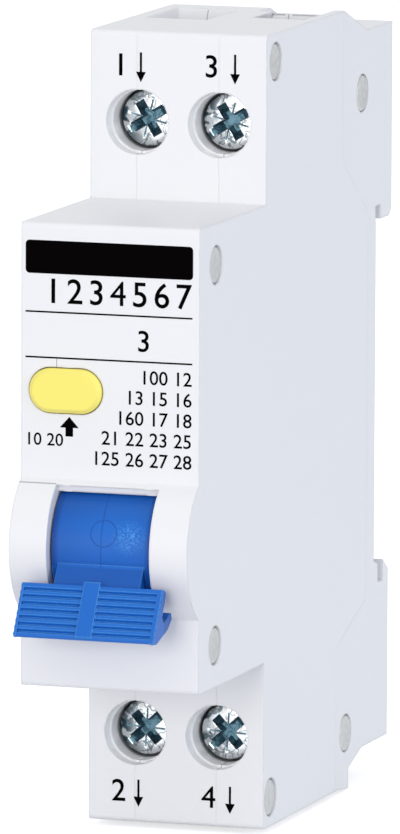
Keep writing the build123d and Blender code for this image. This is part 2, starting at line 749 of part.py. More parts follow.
def opened(body):
    """Turns a piece of the carrier from closed to open."""
    hinge = Axis((0, CARRIER_Y, CARRIER_Z), (1, 0, 0))
    return body.rotate(hinge, -CARRIER_SWING)


def contact_carrier():
    """Insulating shaft through both poles, with the link's lever and a pocket for each contact arm."""
    centre = (CARRIER_Y, CARRIER_Z)
    lever_end = polar(centre, LEVER_RADIUS, LEVER_ANGLE + CARRIER_SWING)
    body = pin(*centre, SHAFT_RADIUS, -SHAFT_HALF, SHAFT_HALF)
    body += across(link(centre, SHAFT_RADIUS, lever_end, LEVER_END_RADIUS), LEVER_OUTER, LEVER_INNER)
    wall = 0.35
    arm_slot = rect(STRIP_FRONT, POCKET[3][0] + 1, STRIP_BOTTOM, STRIP_TOP)
    spring_front, spring_rear = CONTACT_SPRING_Y - 1.1, CONTACT_SPRING_Y + 1.1
    spring_room = rect(spring_front, spring_rear, STRIP_BOTTOM - CONTACT_SPRING_LENGTH, STRIP_BOTTOM)
    for pole in POLES:
        body += across(outline(*POCKET), pole * POCKET_LEFT, pole * POCKET_RIGHT)
        body -= across(arm_slot, pole * (POCKET_LEFT + wall), pole * (POCKET_RIGHT - wall))
        body -= across(spring_room, pole * (POLE_X - 1.15), pole * (POLE_X + 1.15))
    body -= pin(*centre, PIN_RADIUS + FIT, -SHAFT_HALF, SHAFT_HALF)
    body -= pin(*lever_end, LEVER_HOLE, LEVER_OUTER, LEVER_INNER)
    return opened(body)


def carrier_pin():
    """Steel pin that the contact carrier turns on."""
    return pin(CARRIER_Y, CARRIER_Z, PIN_RADIUS, -PIN_END, PIN_END)


def moving_contact(pole):
    """Copper arm with a rounded free end and a silver tip on its upper face."""
    x = pole * POLE_X
    shape = top_rect(x - STRIP_HALF, x + STRIP_HALF, STRIP_FRONT, TIP_Y)
    shape += Pos(x, TIP_Y) * Circle(STRIP_HALF)
    arm = upward(shape, STRIP_BOTTOM, STRIP_THICK)
    arm += rod_z(x, TIP_Y, TIP_RADIUS, STRIP_TOP, STRIP_TOP + TIP_THICK)
    return opened(arm)


def contact_springs():
    """Two equal compression springs that press the contact arms, in the carrier's pockets."""
    springs = Part()
    for pole in POLES:
        springs += rod_z(pole * POLE_X, CONTACT_SPRING_Y, CONTACT_SPRING_RADIUS,
                         STRIP_BOTTOM - CONTACT_SPRING_LENGTH, STRIP_BOTTOM)
    return opened(springs)


OPENING_SPRING_RADIUS = 1.5


def opening_spring():
    """Compression spring that stands on the nose's floor and pushes the carrier's lever up, to open."""
    lever = polar((CARRIER_Y, CARRIER_Z), LEVER_RADIUS, LEVER_ANGLE)
    x = (LEVER_OUTER + LEVER_INNER) / 2
    return rod_z(x, lever[0], OPENING_SPRING_RADIUS, -NOSE_TOP + RIM, lever[1] - LEVER_END_RADIUS)


# Trip bar

TRIP_HUB = 1.9
TRIP_END = 0.8
LATCH_END = (-38.6, 0.9)
STRIKER_END = (-31.7, 11.8)
RESIDUAL_END = (-37.4, 13.6)
BIMETAL_KNEE = (-31.0, 3.0)
BIMETAL_END = (-31.0, -10.0)
BIMETAL_ARM_HALF = 0.75
BIMETAL_ARM_OUTER = -7.6
BIMETAL_ARM_INNER = -6.7


def trip_bar():
    """Bar through both poles with arms for the latch, both magnets and the bimetal."""
    centre = (TRIP_Y, TRIP_Z)
    bar = pin(*centre, TRIP_HUB, BIMETAL_ARM_INNER - 0.3, SHAFT_HALF)
    bar += across(link(centre, TRIP_HUB, LATCH_END, TRIP_END), LEVER_OUTER, LEVER_INNER - 0.7)
    trip_x, residual_x = TRIP_MAGNET["x"], RESIDUAL_MAGNET["x"]
    bar += across(link(centre, TRIP_HUB, STRIKER_END, TRIP_END + 0.1), trip_x - 1, trip_x + 1)
    bar += across(link(centre, TRIP_HUB, RESIDUAL_END, TRIP_END), residual_x - 1, residual_x + 1)
    leg = link(centre, TRIP_HUB, BIMETAL_KNEE, BIMETAL_ARM_HALF)
    leg += link(BIMETAL_KNEE, BIMETAL_ARM_HALF, BIMETAL_END, BIMETAL_ARM_HALF)
    bar += across(leg, BIMETAL_ARM_OUTER, BIMETAL_ARM_INNER)
    return bar - pin(*centre, TRIP_PIN_RADIUS + FIT, BIMETAL_ARM_OUTER, SHAFT_HALF)


def trip_pin():
    """Steel pin that the trip bar turns on."""
    return pin(TRIP_Y, TRIP_Z, TRIP_PIN_RADIUS, -PIN_END, PIN_END)


# Electromagnets: one for short circuits and one for residual current

TRIP_REACH = -30.6
RESIDUAL_REACH = -36.4
CORE_RADIUS = 1.45
CORE_LENGTH = 4.6
STRIKER_RADIUS = 0.65
STRIKER_GAP = 0.1
PLUNGER_FRONT = 6.2
COLLAR_GAP = 1.5
COLLAR_THICK = 0.5
PLUNGER_COLLAR = 1.9
COIL_RADIUS = 2.85
TUBE_RADIUS = 1.85
FLANGE_THICK = 0.6
YOKE_WIDTH = 7.0
LEAD = 1.1


def magnet_yoke(magnet, web_side):
    """U-shaped steel frame with a hole in each end plate, standing on the web."""
    front, rear, middle, half = magnet["front"], magnet["rear"], magnet["z"], magnet["half"]
    near = web_side * WEB_HALF
    back = web_side * (WEB_HALF + PLATE)
    far = web_side * (WEB_HALF + YOKE_WIDTH)
    plan = outline(
        (near, front), (far, front), (far, front + PLATE), (back, front + PLATE),
        (back, rear - PLATE), (far, rear - PLATE), (far, rear), (near, rear))
    yoke = upward(plan, middle - half, 2 * half)
    return yoke - rod_y(magnet["x"], middle, CORE_RADIUS + FIT, front - 1, rear + 1)


def magnet_bobbin(magnet):
    """Spool between the end plates."""
    front, rear = magnet["front"] + PLATE, magnet["rear"] - PLATE
    flange = COIL_RADIUS + FIT
    bore = CORE_RADIUS + 0.02
    return turned(
        ((bore, front), (flange, front), (flange, front + FLANGE_THICK),
         (TUBE_RADIUS, front + FLANGE_THICK), (TUBE_RADIUS, rear - FLANGE_THICK),
         (flange, rear - FLANGE_THICK), (flange, rear), (bore, rear)), magnet["x"], magnet["z"])


def magnet_core(magnet):
    """Fixed iron core in the front half of the spool, bored for the striker."""
    front = magnet["front"]
    rear = front + CORE_LENGTH
    bore = STRIKER_RADIUS + STRIKER_GAP
    return turned(((bore, front), (CORE_RADIUS, front), (CORE_RADIUS, rear), (bore, rear)),
                  magnet["x"], magnet["z"])


def magnet_plunger(magnet, reach):
    """Moving iron plunger with a striker through the core and a collar at its rear."""
    front = magnet["front"] + PLUNGER_FRONT
    collar = magnet["rear"] + COLLAR_GAP
    end = collar + COLLAR_THICK
    radius = CORE_RADIUS - 0.04
    return turned(
        ((0, reach), (STRIKER_RADIUS, reach), (STRIKER_RADIUS, front), (radius, front),
         (radius, collar), (PLUNGER_COLLAR, collar), (PLUNGER_COLLAR, end), (0, end)),
        magnet["x"], magnet["z"])


def coil(magnet):
    """Winding between the spool's flanges, smooth at this scale."""
    front = magnet["front"] + PLATE + FLANGE_THICK
    rear = magnet["rear"] - PLATE - FLANGE_THICK
    radius = COIL_RADIUS - 0.1
    return turned(((TUBE_RADIUS, front), (radius, front), (radius, rear), (TUBE_RADIUS, rear)),
                  magnet["x"], magnet["z"])


def trip_coil():
    """Coil of thick wire with a lead up to the strap and one down to the fixed contact."""
    magnet = TRIP_MAGNET
    front = magnet["front"] + PLATE + FLANGE_THICK
    rear = magnet["rear"] - PLATE - FLANGE_THICK
    left, right = magnet["x"] - LEAD / 2, magnet["x"] + LEAD / 2
    tube = TUBE_RADIUS + 0.1
    upper_lead = block(left, right, rear - LEAD, rear, magnet["z"] + tube, LINE_FOOT)
    lower_lead = block(left, right, front, front + LEAD, FIXED_TOP, magnet["z"] - tube)
    return coil(magnet) + upper_lead + lower_lead


# Conductors of both poles

LINE_FOOT = 17.4
LINE_FOOT_REAR = -13.6
CONTACT_HALF = 2.05
HEEL_FRONT = -23.4
LINE_WIRE_Y = -26.9
NEUTRAL_WIRE_Y = -24.3
WIRE_LOW = -23.7
WIRE_FAR = SENSOR_FAR + 0.75
WIRE_END = 0.6
LINE_WIRE_START = -4.0
NEUTRAL_WIRE_X = 1.4
NEUTRAL_WIRE_TOP = -9.4
WIRE_BEND = 1.0
BRAID_RADIUS = 0.45
BRAID_BEND = 0.7
BRAID_START = (-28.77, -3.42)


def strap_section(pole):
    """Left and right sides of a terminal strap."""
    x = pole * TERMINAL_X
    return x - STRAP_WIDTH / 2, x + STRAP_WIDTH / 2


def fixed_tip(pole):
    """Silver tip under a fixed contact."""
    return rod_z(pole * POLE_X, TIP_Y, TIP_RADIUS, FIXED_LOW - TIP_THICK, FIXED_LOW)


def line_in_strap():
    """Strap from the upper line cage to the coil."""
    foot_top = LINE_FOOT + STRAP_THICK
    shape = outline(
        (STRAP_FRONT, STRAP_END), (STRAP_FRONT, LINE_FOOT), (LINE_FOOT_REAR, LINE_FOOT),
        (LINE_FOOT_REAR, foot_top), (STRAP_REAR, foot_top), (STRAP_REAR, STRAP_END))
    return across(shape, *strap_section(-1))


def neutral_in_strap():
    """Strap from the upper neutral cage down to the fixed contact, with its silver tip."""
    shape = outline(
        (STRAP_FRONT, STRAP_END), (STRAP_FRONT, FIXED_TOP), (HEEL_FRONT, FIXED_TOP),
        (HEEL_FRONT, FIXED_LOW), (STRAP_HEEL, FIXED_LOW), (STRAP_HEEL, FIXED_TOP),
        (STRAP_REAR, FIXED_TOP), (STRAP_REAR, STRAP_END))
    return across(shape, *strap_section(1)) + fixed_tip(1)


def line_fixed_contact():
    """Fixed contact of the line pole; it runs back and down as the arc runner."""
    runner_top = CHUTE_TOP + 2.3
    runner_low = runner_top - ARC_PLATE_THICK
    shape = outline(
        (CONTACT_FRONT, FIXED_LOW), (CONTACT_FRONT, FIXED_TOP), (STRAP_HEEL + 0.5, FIXED_TOP),
        (LINE_FOOT_REAR, runner_top), (CHUTE_REAR - 0.2, runner_top), (CHUTE_REAR - 0.2, runner_low),
        (LINE_FOOT_REAR - 0.6, runner_low), (STRAP_HEEL, FIXED_LOW))
    return across(shape, -POLE_X - CONTACT_HALF, -POLE_X + CONTACT_HALF) + fixed_tip(-1)


def out_strap(pole, wire_y):
    """Strap from a lower cage up to the wire that comes back from the current sensor."""
    top = WIRE_LOW + WIRE_END
    shape = rect(STRAP_FRONT, STRAP_REAR, -STRAP_END, top)
    shape += rect(wire_y + WIRE_RADIUS, STRAP_REAR, WIRE_LOW - WIRE_END, top)
    return across(shape, *strap_section(pole))


BRACKET_FRONT = -34.0
BRACKET_THICK = 1.0
BRACKET_TOP = -16.0
TAB_THICK = 1.1
TAB_FRONT = -29.6
TAB_TOP = -14.2


def bimetal_heel():
    """Bracket that carries the bimetal and meets the line wire to the current sensor."""
    tab_rear = LINE_WIRE_Y - WIRE_RADIUS
    inner = BRACKET_FRONT + BRACKET_THICK
    floor = -FLOOR_LOW + WALL
    shape = outline(
        (BRACKET_FRONT, -FLOOR_LOW), (BRACKET_FRONT, BRACKET_TOP), (inner, BRACKET_TOP), (inner, floor),
        (TAB_FRONT, floor), (TAB_FRONT, TAB_TOP), (tab_rear, TAB_TOP), (tab_rear, BRACKET_TOP - 1),
        (TAB_FRONT + TAB_THICK, BRACKET_TOP - 2), (TAB_FRONT + TAB_THICK, -FLOOR_LOW))
    return across(shape, -POLE_X - CONTACT_HALF - 0.1, -POLE_X + CONTACT_HALF)


def bimetal_strip():
    """Bimetal strip, welded to the heel by its lower end."""
    front, thick = BRACKET_FRONT + BRACKET_THICK, 0.8
    low, high = -21.6, -8.6
    shape = outline((front, low), (front, high), (front + thick, high + 0.2), (front + thick, low))
    return across(shape, BIMETAL_ARM_OUTER, LEVER_INNER - 0.1)


def line_wire():
    """Line conductor through the current sensor and back below it."""
    start, far = LINE_WIRE_START, WIRE_FAR
    return bent_wire(
        ((start, LINE_WIRE_Y, SENSOR_Z), (far, LINE_WIRE_Y, SENSOR_Z), (far, LINE_WIRE_Y, WIRE_LOW),
         (start, LINE_WIRE_Y, WIRE_LOW)), WIRE_RADIUS, WIRE_BEND)


def neutral_wire():
    """Neutral conductor from the contact arm's side, through the current sensor and back below it."""
    near, far, y = NEUTRAL_WIRE_X, WIRE_FAR, NEUTRAL_WIRE_Y
    return bent_wire(
        ((near, y, NEUTRAL_WIRE_TOP), (near, y, SENSOR_Z), (far, y, SENSOR_Z), (far, y, WIRE_LOW),
         (near + 1.2, y, WIRE_LOW)), WIRE_RADIUS, WIRE_BEND)


def line_braid():
    """Flexible braid from the line contact arm to the free end of the bimetal."""
    x, low = -POLE_X, -9.6
    strip_rear = BRACKET_FRONT + BRACKET_THICK + 0.8
    return bent_wire(((x, *BRAID_START), (x, -30.7, low), (x, strip_rear, low)), BRAID_RADIUS, BRAID_BEND)


def neutral_braid():
    """Flexible braid from the neutral contact arm to the neutral wire."""
    arm_x, near, low = POLE_X - 0.85, NEUTRAL_WIRE_X, -6.8
    return bent_wire(
        ((arm_x, *BRAID_START), (arm_x, -29.5, low + 1.1), (near, -27.0, low), (near, NEUTRAL_WIRE_Y, low),
         (near, NEUTRAL_WIRE_Y, NEUTRAL_WIRE_TOP)), BRAID_RADIUS, BRAID_BEND)


# Arc chute

ARC_PLATES = 7
ARC_LEFT = -6.9
ARC_RIGHT = -1.6
ARC_FORK = 0.9
ARC_NOTCH_HALF = 0.35
ARC_NOTCH_END = -11.4
CARD_THICK = 0.6


def arc_plates():
    """Stack of steel plates, each with a notch that draws the arc in."""
    middle = (ARC_LEFT + ARC_RIGHT) / 2
    shape = outline(
        (ARC_LEFT, CHUTE_REAR), (ARC_LEFT, CHUTE_FRONT), (ARC_LEFT + ARC_FORK, CHUTE_FRONT),
        (middle - ARC_NOTCH_HALF, ARC_NOTCH_END), (middle + ARC_NOTCH_HALF, ARC_NOTCH_END),
        (ARC_RIGHT - ARC_FORK, CHUTE_FRONT), (ARC_RIGHT, CHUTE_FRONT), (ARC_RIGHT, CHUTE_REAR))
    pitch = (CHUTE_TOP - CHUTE_BOTTOM - ARC_PLATE_THICK) / (ARC_PLATES - 1)
    plates = Part()
    for index in range(ARC_PLATES):
        plates += upward(shape, CHUTE_BOTTOM + index * pitch, ARC_PLATE_THICK)
    return plates


def arc_card(x0, x1):
    """Insulating card along one side of the arc plates."""
    top = CHUTE_TOP + 0.6
    card = outline((CHUTE_FRONT, CHUTE_BOTTOM), (CHUTE_REAR, CHUTE_BOTTOM), (CHUTE_REAR, top),
                   (CHUTE_FRONT + 1.5, top), (CHUTE_FRONT, top - 1.4))
    return across(card, x0, x1)


# Terminals

HEAD_CHAMFER = 0.35
CAGE_CORNER = 0.8
CAGE_SIDE = 0.8
CAGE_NUT = 1.5
CAGE_BACK = 1.2


def terminal_screw(x, z):
    """Captive terminal screw with a low head; its recess is left to the finish."""
    tip = STRAP_FRONT - 0.15
    rim = SCREW_HEAD_RADIUS - HEAD_CHAMFER
    return turned(
        ((0, SCREW_HEAD_FRONT), (rim, SCREW_HEAD_FRONT),
         (SCREW_HEAD_RADIUS, SCREW_HEAD_FRONT + HEAD_CHAMFER), (SCREW_HEAD_RADIUS, SCREW_SEAT),
         (SHANK_RADIUS, SCREW_SEAT), (SHANK_RADIUS, tip), (0, tip)), x, z)


def terminal_cage(x, z):
    """Rising cage: a folded steel box, open above and below and threaded in front."""
    half = CAGE_WIDTH / 2
    rear = CAGE_FRONT + CAGE_DEPTH
    outer = top_rect(x - half, x + half, CAGE_FRONT, rear)
    outer = chamfer(outer.vertices(), CAGE_CORNER)
    inner_front = CAGE_FRONT + CAGE_NUT
    inner_half = half - CAGE_SIDE
    inner = top_rect(x - inner_half, x + inner_half, inner_front, rear - CAGE_BACK)
    cage = upward(outer - inner, z - CAGE_HEIGHT / 2, CAGE_HEIGHT)
    return cage - rod_y(x, z, SHANK_RADIUS + FIT, CAGE_FRONT - 1, inner_front + 0.2)


# Current sensor, board and test circuit

SENSOR_WALL = 0.7


def sensor_case():
    """Ring-shaped insulating case of the current sensor, hollow for its core."""
    shape = outline((SENSOR_NEAR, SENSOR_HOLE), (SENSOR_FAR, SENSOR_HOLE), (SENSOR_FAR, SENSOR_RADIUS),
                    (SENSOR_NEAR, SENSOR_RADIUS))
    case = revolve(shape - core_section(0), Axis.X)
    return Pos(0, SENSOR_Y, SENSOR_Z) * case


def core_section(clearance):
    """Section of the sensor's core, less a clearance all round."""
    inset = SENSOR_WALL + clearance
    near, far = SENSOR_NEAR + inset, SENSOR_FAR - inset
    inner, outer = SENSOR_HOLE + inset, SENSOR_RADIUS - inset
    return outline((near, inner), (far, inner), (far, outer), (near, outer))


def sensor_core():
    """Wound strip core of the current sensor."""
    return Pos(0, SENSOR_Y, SENSOR_Z) * revolve(core_section(0.02), Axis.X)


def circuit_board():
    """Board of the residual current circuit, on three posts."""
    small, large = 1.5, 3.5
    board = outline(
        (BOARD_FRONT, BOARD_LOW + small), (BOARD_FRONT, BOARD_HIGH), (BOARD_REAR, BOARD_HIGH),
        (BOARD_REAR, BOARD_LOW + large), (BOARD_REAR - large, BOARD_LOW), (BOARD_FRONT + small, BOARD_LOW))
    return across(board, BOARD_X, BOARD_X + BOARD_THICK)


def board_capacitor():
    """Can-shaped capacitor that stands on the board."""
    y, z, radius, length = -50.4, 11.6, 2.5, 5.2
    return pin(y, z, radius, BOARD_X - length, BOARD_X)


def board_varistor():
    """Disc-shaped surge part that stands off the board."""
    z, front, thick = 4.6, -46.8, 1.8
    radius, root = 2.1, 0.6
    far_end = Pos(BOARD_X - radius - 1.1, z) * Circle(radius)
    near_end = Pos(BOARD_X - root, z) * Circle(root)
    shape = make_hull(far_end.edges() + near_end.edges())
    return extrude(Plane.XZ.offset(-front - thick) * shape, thick, dir=(0, -1, 0))


CHIP_FRONT = -44.9
CHIP_REAR = -42.1
CHIP_LOW = 9.2
CHIP_HIGH = 13.4
LEG_REACH = 0.6
LEG_HALF = 0.18
LEGS = 4


def board_chip():
    """Signal chip on the board, with its two rows of legs."""
    body = across(rect(CHIP_FRONT, CHIP_REAR, CHIP_LOW, CHIP_HIGH), BOARD_X - 1.5, BOARD_X - 0.2)
    pitch = (CHIP_HIGH - CHIP_LOW) / LEGS
    legs = Part()
    for index in range(LEGS):
        z = CHIP_LOW + (index + 0.5) * pitch
        legs += block(BOARD_X - LEG_REACH, BOARD_X, CHIP_FRONT - LEG_REACH, CHIP_REAR + LEG_REACH,
                      z - LEG_HALF, z + LEG_HALF)
    return body + legs


BUTTON_CHAMFER = 0.35
FLANGE_WIDTH = 6.6
FLANGE_REACH = 0.7
BUTTON_SPRING_RADIUS = 1.75


def test_button():
    """Round-ended test button with a bevelled front edge, a stop flange and a stem."""
    key = stadium(BUTTON_LENGTH, BUTTON_HEIGHT, BUTTON_X, BUTTON_Z, BUTTON_FRONT, FLANGE_REAR)
    front_edges = key.faces().sort_by(Axis.Y)[0].edges()
    key = chamfer(front_edges, BUTTON_CHAMFER)
    half_width = FLANGE_WIDTH / 2
    half_height = BUTTON_HEIGHT / 2 + FLANGE_REACH
    key += block(BUTTON_X - half_width, BUTTON_X + half_width, FLANGE_FRONT, FLANGE_REAR,
                 BUTTON_Z - half_height, BUTTON_Z + half_height)
    stem_end = LEAF_FRONT - BUTTON_TRAVEL - BUTTON_GAP
    return key + rod_y(BUTTON_X, BUTTON_Z, STEM_RADIUS, FLANGE_REAR, stem_end)


def button_spring():
    """Compression spring round the button's stem, against the wall behind it."""
    inner, outer = STEM_RADIUS + 0.3, BUTTON_SPRING_RADIUS
    return turned(((inner, FLANGE_REAR), (outer, FLANGE_REAR), (outer, SPRING_WALL_FRONT),
                   (inner, SPRING_WALL_FRONT)), BUTTON_X, BUTTON_Z)


def test_leaf():
    """Springy contact leaf that the test button presses, held in a slot at its upper end."""
    return block(LEAF_X - LEAF_HALF, LEAF_X + LEAF_HALF, LEAF_FRONT, LEAF_FRONT + LEAF_THICK,
                 LEAF_BOTTOM, LEAF_TOP)


def test_resistor():
    """Resistor of the test circuit, along the back of the leaf."""
    radius, low, high = 1.1, 9.0, 15.0
    return rod_z(LEAF_X, LEAF_FRONT + LEAF_THICK + radius, radius, low, high)


def pieces():
    """Every sub-part under its node name."""
    cutters = shared_cutters()
    parts = {
        "left_shell": left_shell(cutters),
        "middle_frame": middle_frame(cutters),
        "right_shell": right_shell(cutters),
        "housing_rivets": housing_rivets(),
        "rail_clip": rail_clip(),
        "clip_spring": clip_spring(),
        "handle": handle(),
        "handle_pin": handle_pin(),
        "handle_spring": handle_spring(),
        "link_rod": link_rod(),
        "contact_carrier": contact_carrier(),
        "carrier_pin": carrier_pin(),
        "line_moving_contact": moving_contact(-1),
        "neutral_moving_contact": moving_contact(1),
        "contact_springs": contact_springs(),
        "opening_spring": opening_spring(),
        "trip_bar": trip_bar(),
        "trip_pin": trip_pin(),
        "trip_coil": trip_coil(),
        "residual_coil": coil(RESIDUAL_MAGNET),
        "line_in_strap": line_in_strap(),
        "neutral_in_strap": neutral_in_strap(),
        "line_fixed_contact": line_fixed_contact(),
        "line_out_strap": out_strap(-1, LINE_WIRE_Y),
        "neutral_out_strap": out_strap(1, NEUTRAL_WIRE_Y),
        "bimetal_heel": bimetal_heel(),
        "bimetal_strip": bimetal_strip(),
        "line_wire": line_wire(),
        "neutral_wire": neutral_wire(),
        "line_braid": line_braid(),
        "neutral_braid": neutral_braid(),
        "arc_plates": arc_plates(),
        "arc_card_outer": arc_card(ARC_LEFT - CARD_THICK, ARC_LEFT),
        "arc_card_inner": arc_card(ARC_RIGHT, ARC_RIGHT + CARD_THICK),
        "sensor_case": sensor_case(),
        "sensor_core": sensor_core(),
        "circuit_board": circuit_board(),
        "board_capacitor": board_capacitor(),
        "board_varistor": board_varistor(),
        "board_chip": board_chip(),
        "test_button": test_button(),
        "button_spring": button_spring(),
        "test_leaf": test_leaf(),
        "test_resistor": test_resistor(),
    }
    magnets = (("trip", TRIP_MAGNET, -1, TRIP_REACH), ("residual", RESIDUAL_MAGNET, 1, RESIDUAL_REACH))
    for name, magnet, web_side, reach in magnets:
        parts[name + "_yoke"] = magnet_yoke(magnet, web_side)
        parts[name + "_bobbin"] = magnet_bobbin(magnet)
        parts[name + "_core"] = magnet_core(magnet)
        parts[name + "_plunger"] = magnet_plunger(magnet, reach)
    for pole_name, pole in (("line", -1), ("neutral", 1)):
        for level, side in (("upper", 1), ("lower", -1)):
            name = level + "_" + pole_name
            parts[name + "_screw"] = terminal_screw(pole * TERMINAL_X, side * TERMINAL_Z)
            parts[name + "_cage"] = terminal_cage(pole * TERMINAL_X, side * TERMINAL_Z)
    return parts


def main():
    """Writes one file per sub-part."""
    os.makedirs("parts", exist_ok=True)
    for name, body in pieces().items():
        export_step(body, os.path.join("parts", name + ".step"))


main()
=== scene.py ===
"""Looks of a one-module residual current circuit breaker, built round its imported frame."""

import logging
import math
from collections.abc import Sequence
from dataclasses import dataclass, field
from enum import Enum
from functools import partial, reduce

import bmesh
import bpy
from mathutils import Matrix, Vector


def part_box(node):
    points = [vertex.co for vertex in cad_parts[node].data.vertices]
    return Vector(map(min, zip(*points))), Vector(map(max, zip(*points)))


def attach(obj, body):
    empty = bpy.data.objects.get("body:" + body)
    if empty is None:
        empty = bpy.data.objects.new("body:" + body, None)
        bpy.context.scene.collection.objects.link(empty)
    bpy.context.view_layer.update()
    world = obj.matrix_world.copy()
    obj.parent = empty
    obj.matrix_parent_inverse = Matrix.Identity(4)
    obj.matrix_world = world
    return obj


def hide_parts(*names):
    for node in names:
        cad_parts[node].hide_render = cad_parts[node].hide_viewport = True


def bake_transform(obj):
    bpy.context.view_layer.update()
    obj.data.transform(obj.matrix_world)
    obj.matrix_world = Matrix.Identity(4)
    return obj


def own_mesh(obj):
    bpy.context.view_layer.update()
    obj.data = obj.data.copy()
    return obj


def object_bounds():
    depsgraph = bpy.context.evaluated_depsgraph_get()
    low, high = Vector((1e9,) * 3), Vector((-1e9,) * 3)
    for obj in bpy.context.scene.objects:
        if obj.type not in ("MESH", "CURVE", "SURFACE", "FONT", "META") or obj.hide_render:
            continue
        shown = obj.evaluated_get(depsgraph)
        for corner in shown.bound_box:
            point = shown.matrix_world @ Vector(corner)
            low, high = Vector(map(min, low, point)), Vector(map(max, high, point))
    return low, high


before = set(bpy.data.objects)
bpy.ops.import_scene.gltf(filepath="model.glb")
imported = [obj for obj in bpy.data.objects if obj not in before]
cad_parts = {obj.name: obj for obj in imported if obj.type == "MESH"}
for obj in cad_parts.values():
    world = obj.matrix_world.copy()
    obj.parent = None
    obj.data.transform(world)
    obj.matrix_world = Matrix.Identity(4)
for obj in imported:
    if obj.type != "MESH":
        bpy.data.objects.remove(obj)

LOG = logging.getLogger("breaker")
MM = 0.001
CAD_LOW, CAD_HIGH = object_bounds()
WELD = 1e-7
WIRE_SIDES = 10
TURN_STEPS = 28
EDGE_GAIN = 6.0
NOISE_MIDDLE = 0.5
ORIGIN = (0.0, 0.0, 0.0)

Colour = tuple[float, float, float]
Point = tuple[float, float]
Spot = tuple[float, float, float]
Mesh = bmesh.types.BMesh
Drawn = list[bmesh.types.BMVert | bmesh.types.BMEdge]
Socket = bpy.types.NodeSocket
Look = tuple[Socket, Socket]


class Way(Enum):
    """Direction in which a turned piece has its axis."""

    ACROSS = (1.0, 0.0, 0.0)
    DEEP = (0.0, 1.0, 0.0)
    UPRIGHT = (0.0, 0.0, 1.0)


class Level(Enum):
    """Which end of the module a terminal sits at."""

    UPPER = 1
    LOWER = -1


class Pole(Enum):
    """Which conductor a terminal serves, by its side of the module."""

    LINE = -1
    NEUTRAL = 1


RECESS_TURNS = {Level.UPPER: -31.0, Level.LOWER: -42.0}


# Mesh helpers


def place(way: Way, centre: Spot, radius: float, along: float) -> Vector:
    """Point of a turned piece's profile.

    Args:
        way: direction of the axis.
        centre: a point on the axis, in millimetres.
        radius: distance from the axis, in millimetres.
        along: place along the axis from the centre, in millimetres.

    Returns:
        The point in metres.
    """
    x, y, z = centre
    if way is Way.ACROSS:
        return Vector((x + along, y + radius, z)) * MM
    if way is Way.DEEP:
        return Vector((x + radius, y + along, z)) * MM
    return Vector((x + radius, y, z + along)) * MM


def section(mesh: Mesh, profile: Sequence[Point], way: Way, centre: Spot, closed: bool = False) -> Drawn:
    """Draws a profile beside its axis, ready to be spun.

    Args:
        mesh: the mesh that it is drawn in.
        profile: its (radius, place along the axis) points, in millimetres.
        way: direction of the axis.
        centre: a point on the axis, in millimetres.
        closed: whether its last point joins the first.

    Returns:
        Its corners and edges.
    """
    corners = [mesh.verts.new(place(way, centre, radius, along)) for radius, along in profile]
    ends = corners[1:] + corners[:1] if closed else corners[1:]
    return corners + [mesh.edges.new(pair) for pair in zip(corners, ends)]


def turned(profile: Sequence[Point], way: Way, centre: Spot, steps: int) -> Mesh:
    """Solid turned from a profile of (radius, place along the axis) points.

    Args:
        profile: points in millimetres, from one end of the axis to the other.
        way: direction of the axis.
        centre: a point on the axis, in millimetres.
        steps: faces round the axis.

    Returns:
        The closed mesh in metres.
    """
    mesh = bmesh.new()
    bmesh.ops.spin(
        mesh, geom=section(mesh, profile, way, centre), cent=Vector(centre) * MM, axis=Vector(way.value),
        angle=math.tau, steps=steps, use_merge=True, use_duplicate=False)
    bmesh.ops.remove_doubles(mesh, verts=mesh.verts, dist=WELD)
    bmesh.ops.recalc_face_normals(mesh, faces=mesh.faces)
    return mesh


def wind(mesh: Mesh, drawn: Drawn, way: Way, centre: Spot, climb: float, turns: float) -> Mesh:
    """Winds a section into a helix and closes its ends.

    Args:
        mesh: the mesh that holds the section.
        drawn: the section's corners and edges.
        way: direction of the helix's axis.
        centre: a point on the axis, in millimetres.
        climb: how far the section climbs in all, in millimetres.
        turns: number of turns.

    Returns:
        The closed mesh in metres.
    """
    axis = Vector(way.value)
    steps = round(turns * TURN_STEPS)
    bmesh.ops.spin(
        mesh, geom=drawn, cent=Vector(centre) * MM, axis=axis, dvec=axis * (climb * MM / steps),
        angle=math.tau * turns, steps=steps, use_merge=False, use_duplicate=False)
    bmesh.ops.holes_fill(mesh, edges=[edge for edge in mesh.edges if edge.is_boundary], sides=0)
    bmesh.ops.recalc_face_normals(mesh, faces=mesh.faces)
    return mesh


def coil(way: Way, centre: Spot, radius: float, wire: float, length: float, turns: float) -> Mesh:
    """Wire wound as a helix.

    Args:
        way: direction of the helix's axis.
        centre: where the axis starts, in millimetres.
        radius: mean radius of the turns, in millimetres.
        wire: radius of the wire, in millimetres.
        length: how far the wire's centre line climbs, in millimetres.
        turns: number of turns.

    Returns:
        The closed mesh in metres.
    """
    mesh = bmesh.new()
    axis = Vector(way.value)
    start = place(way, centre, radius, 0.0)
    outward = (start - Vector(centre) * MM).normalized()
    turn = Matrix((outward, axis, axis.cross(outward))).transposed().to_4x4()
    ring = bmesh.ops.create_circle(
        mesh, cap_ends=False, radius=wire * MM, segments=WIRE_SIDES, matrix=Matrix.Translation(start) @ turn)
    return wind(mesh, ring["verts"] + list(mesh.edges), way, centre, length, turns)


def shown(name: str, data: bpy.types.ID) -> bpy.types.Object:
    """Object of some data, linked to the scene.

    Args:
        name: the object's name.
        data: its mesh, curve, camera or light.

    Returns:
        The new object.
    """
    made = bpy.data.objects.new(name, data)
    bpy.context.collection.objects.link(made)
    return made


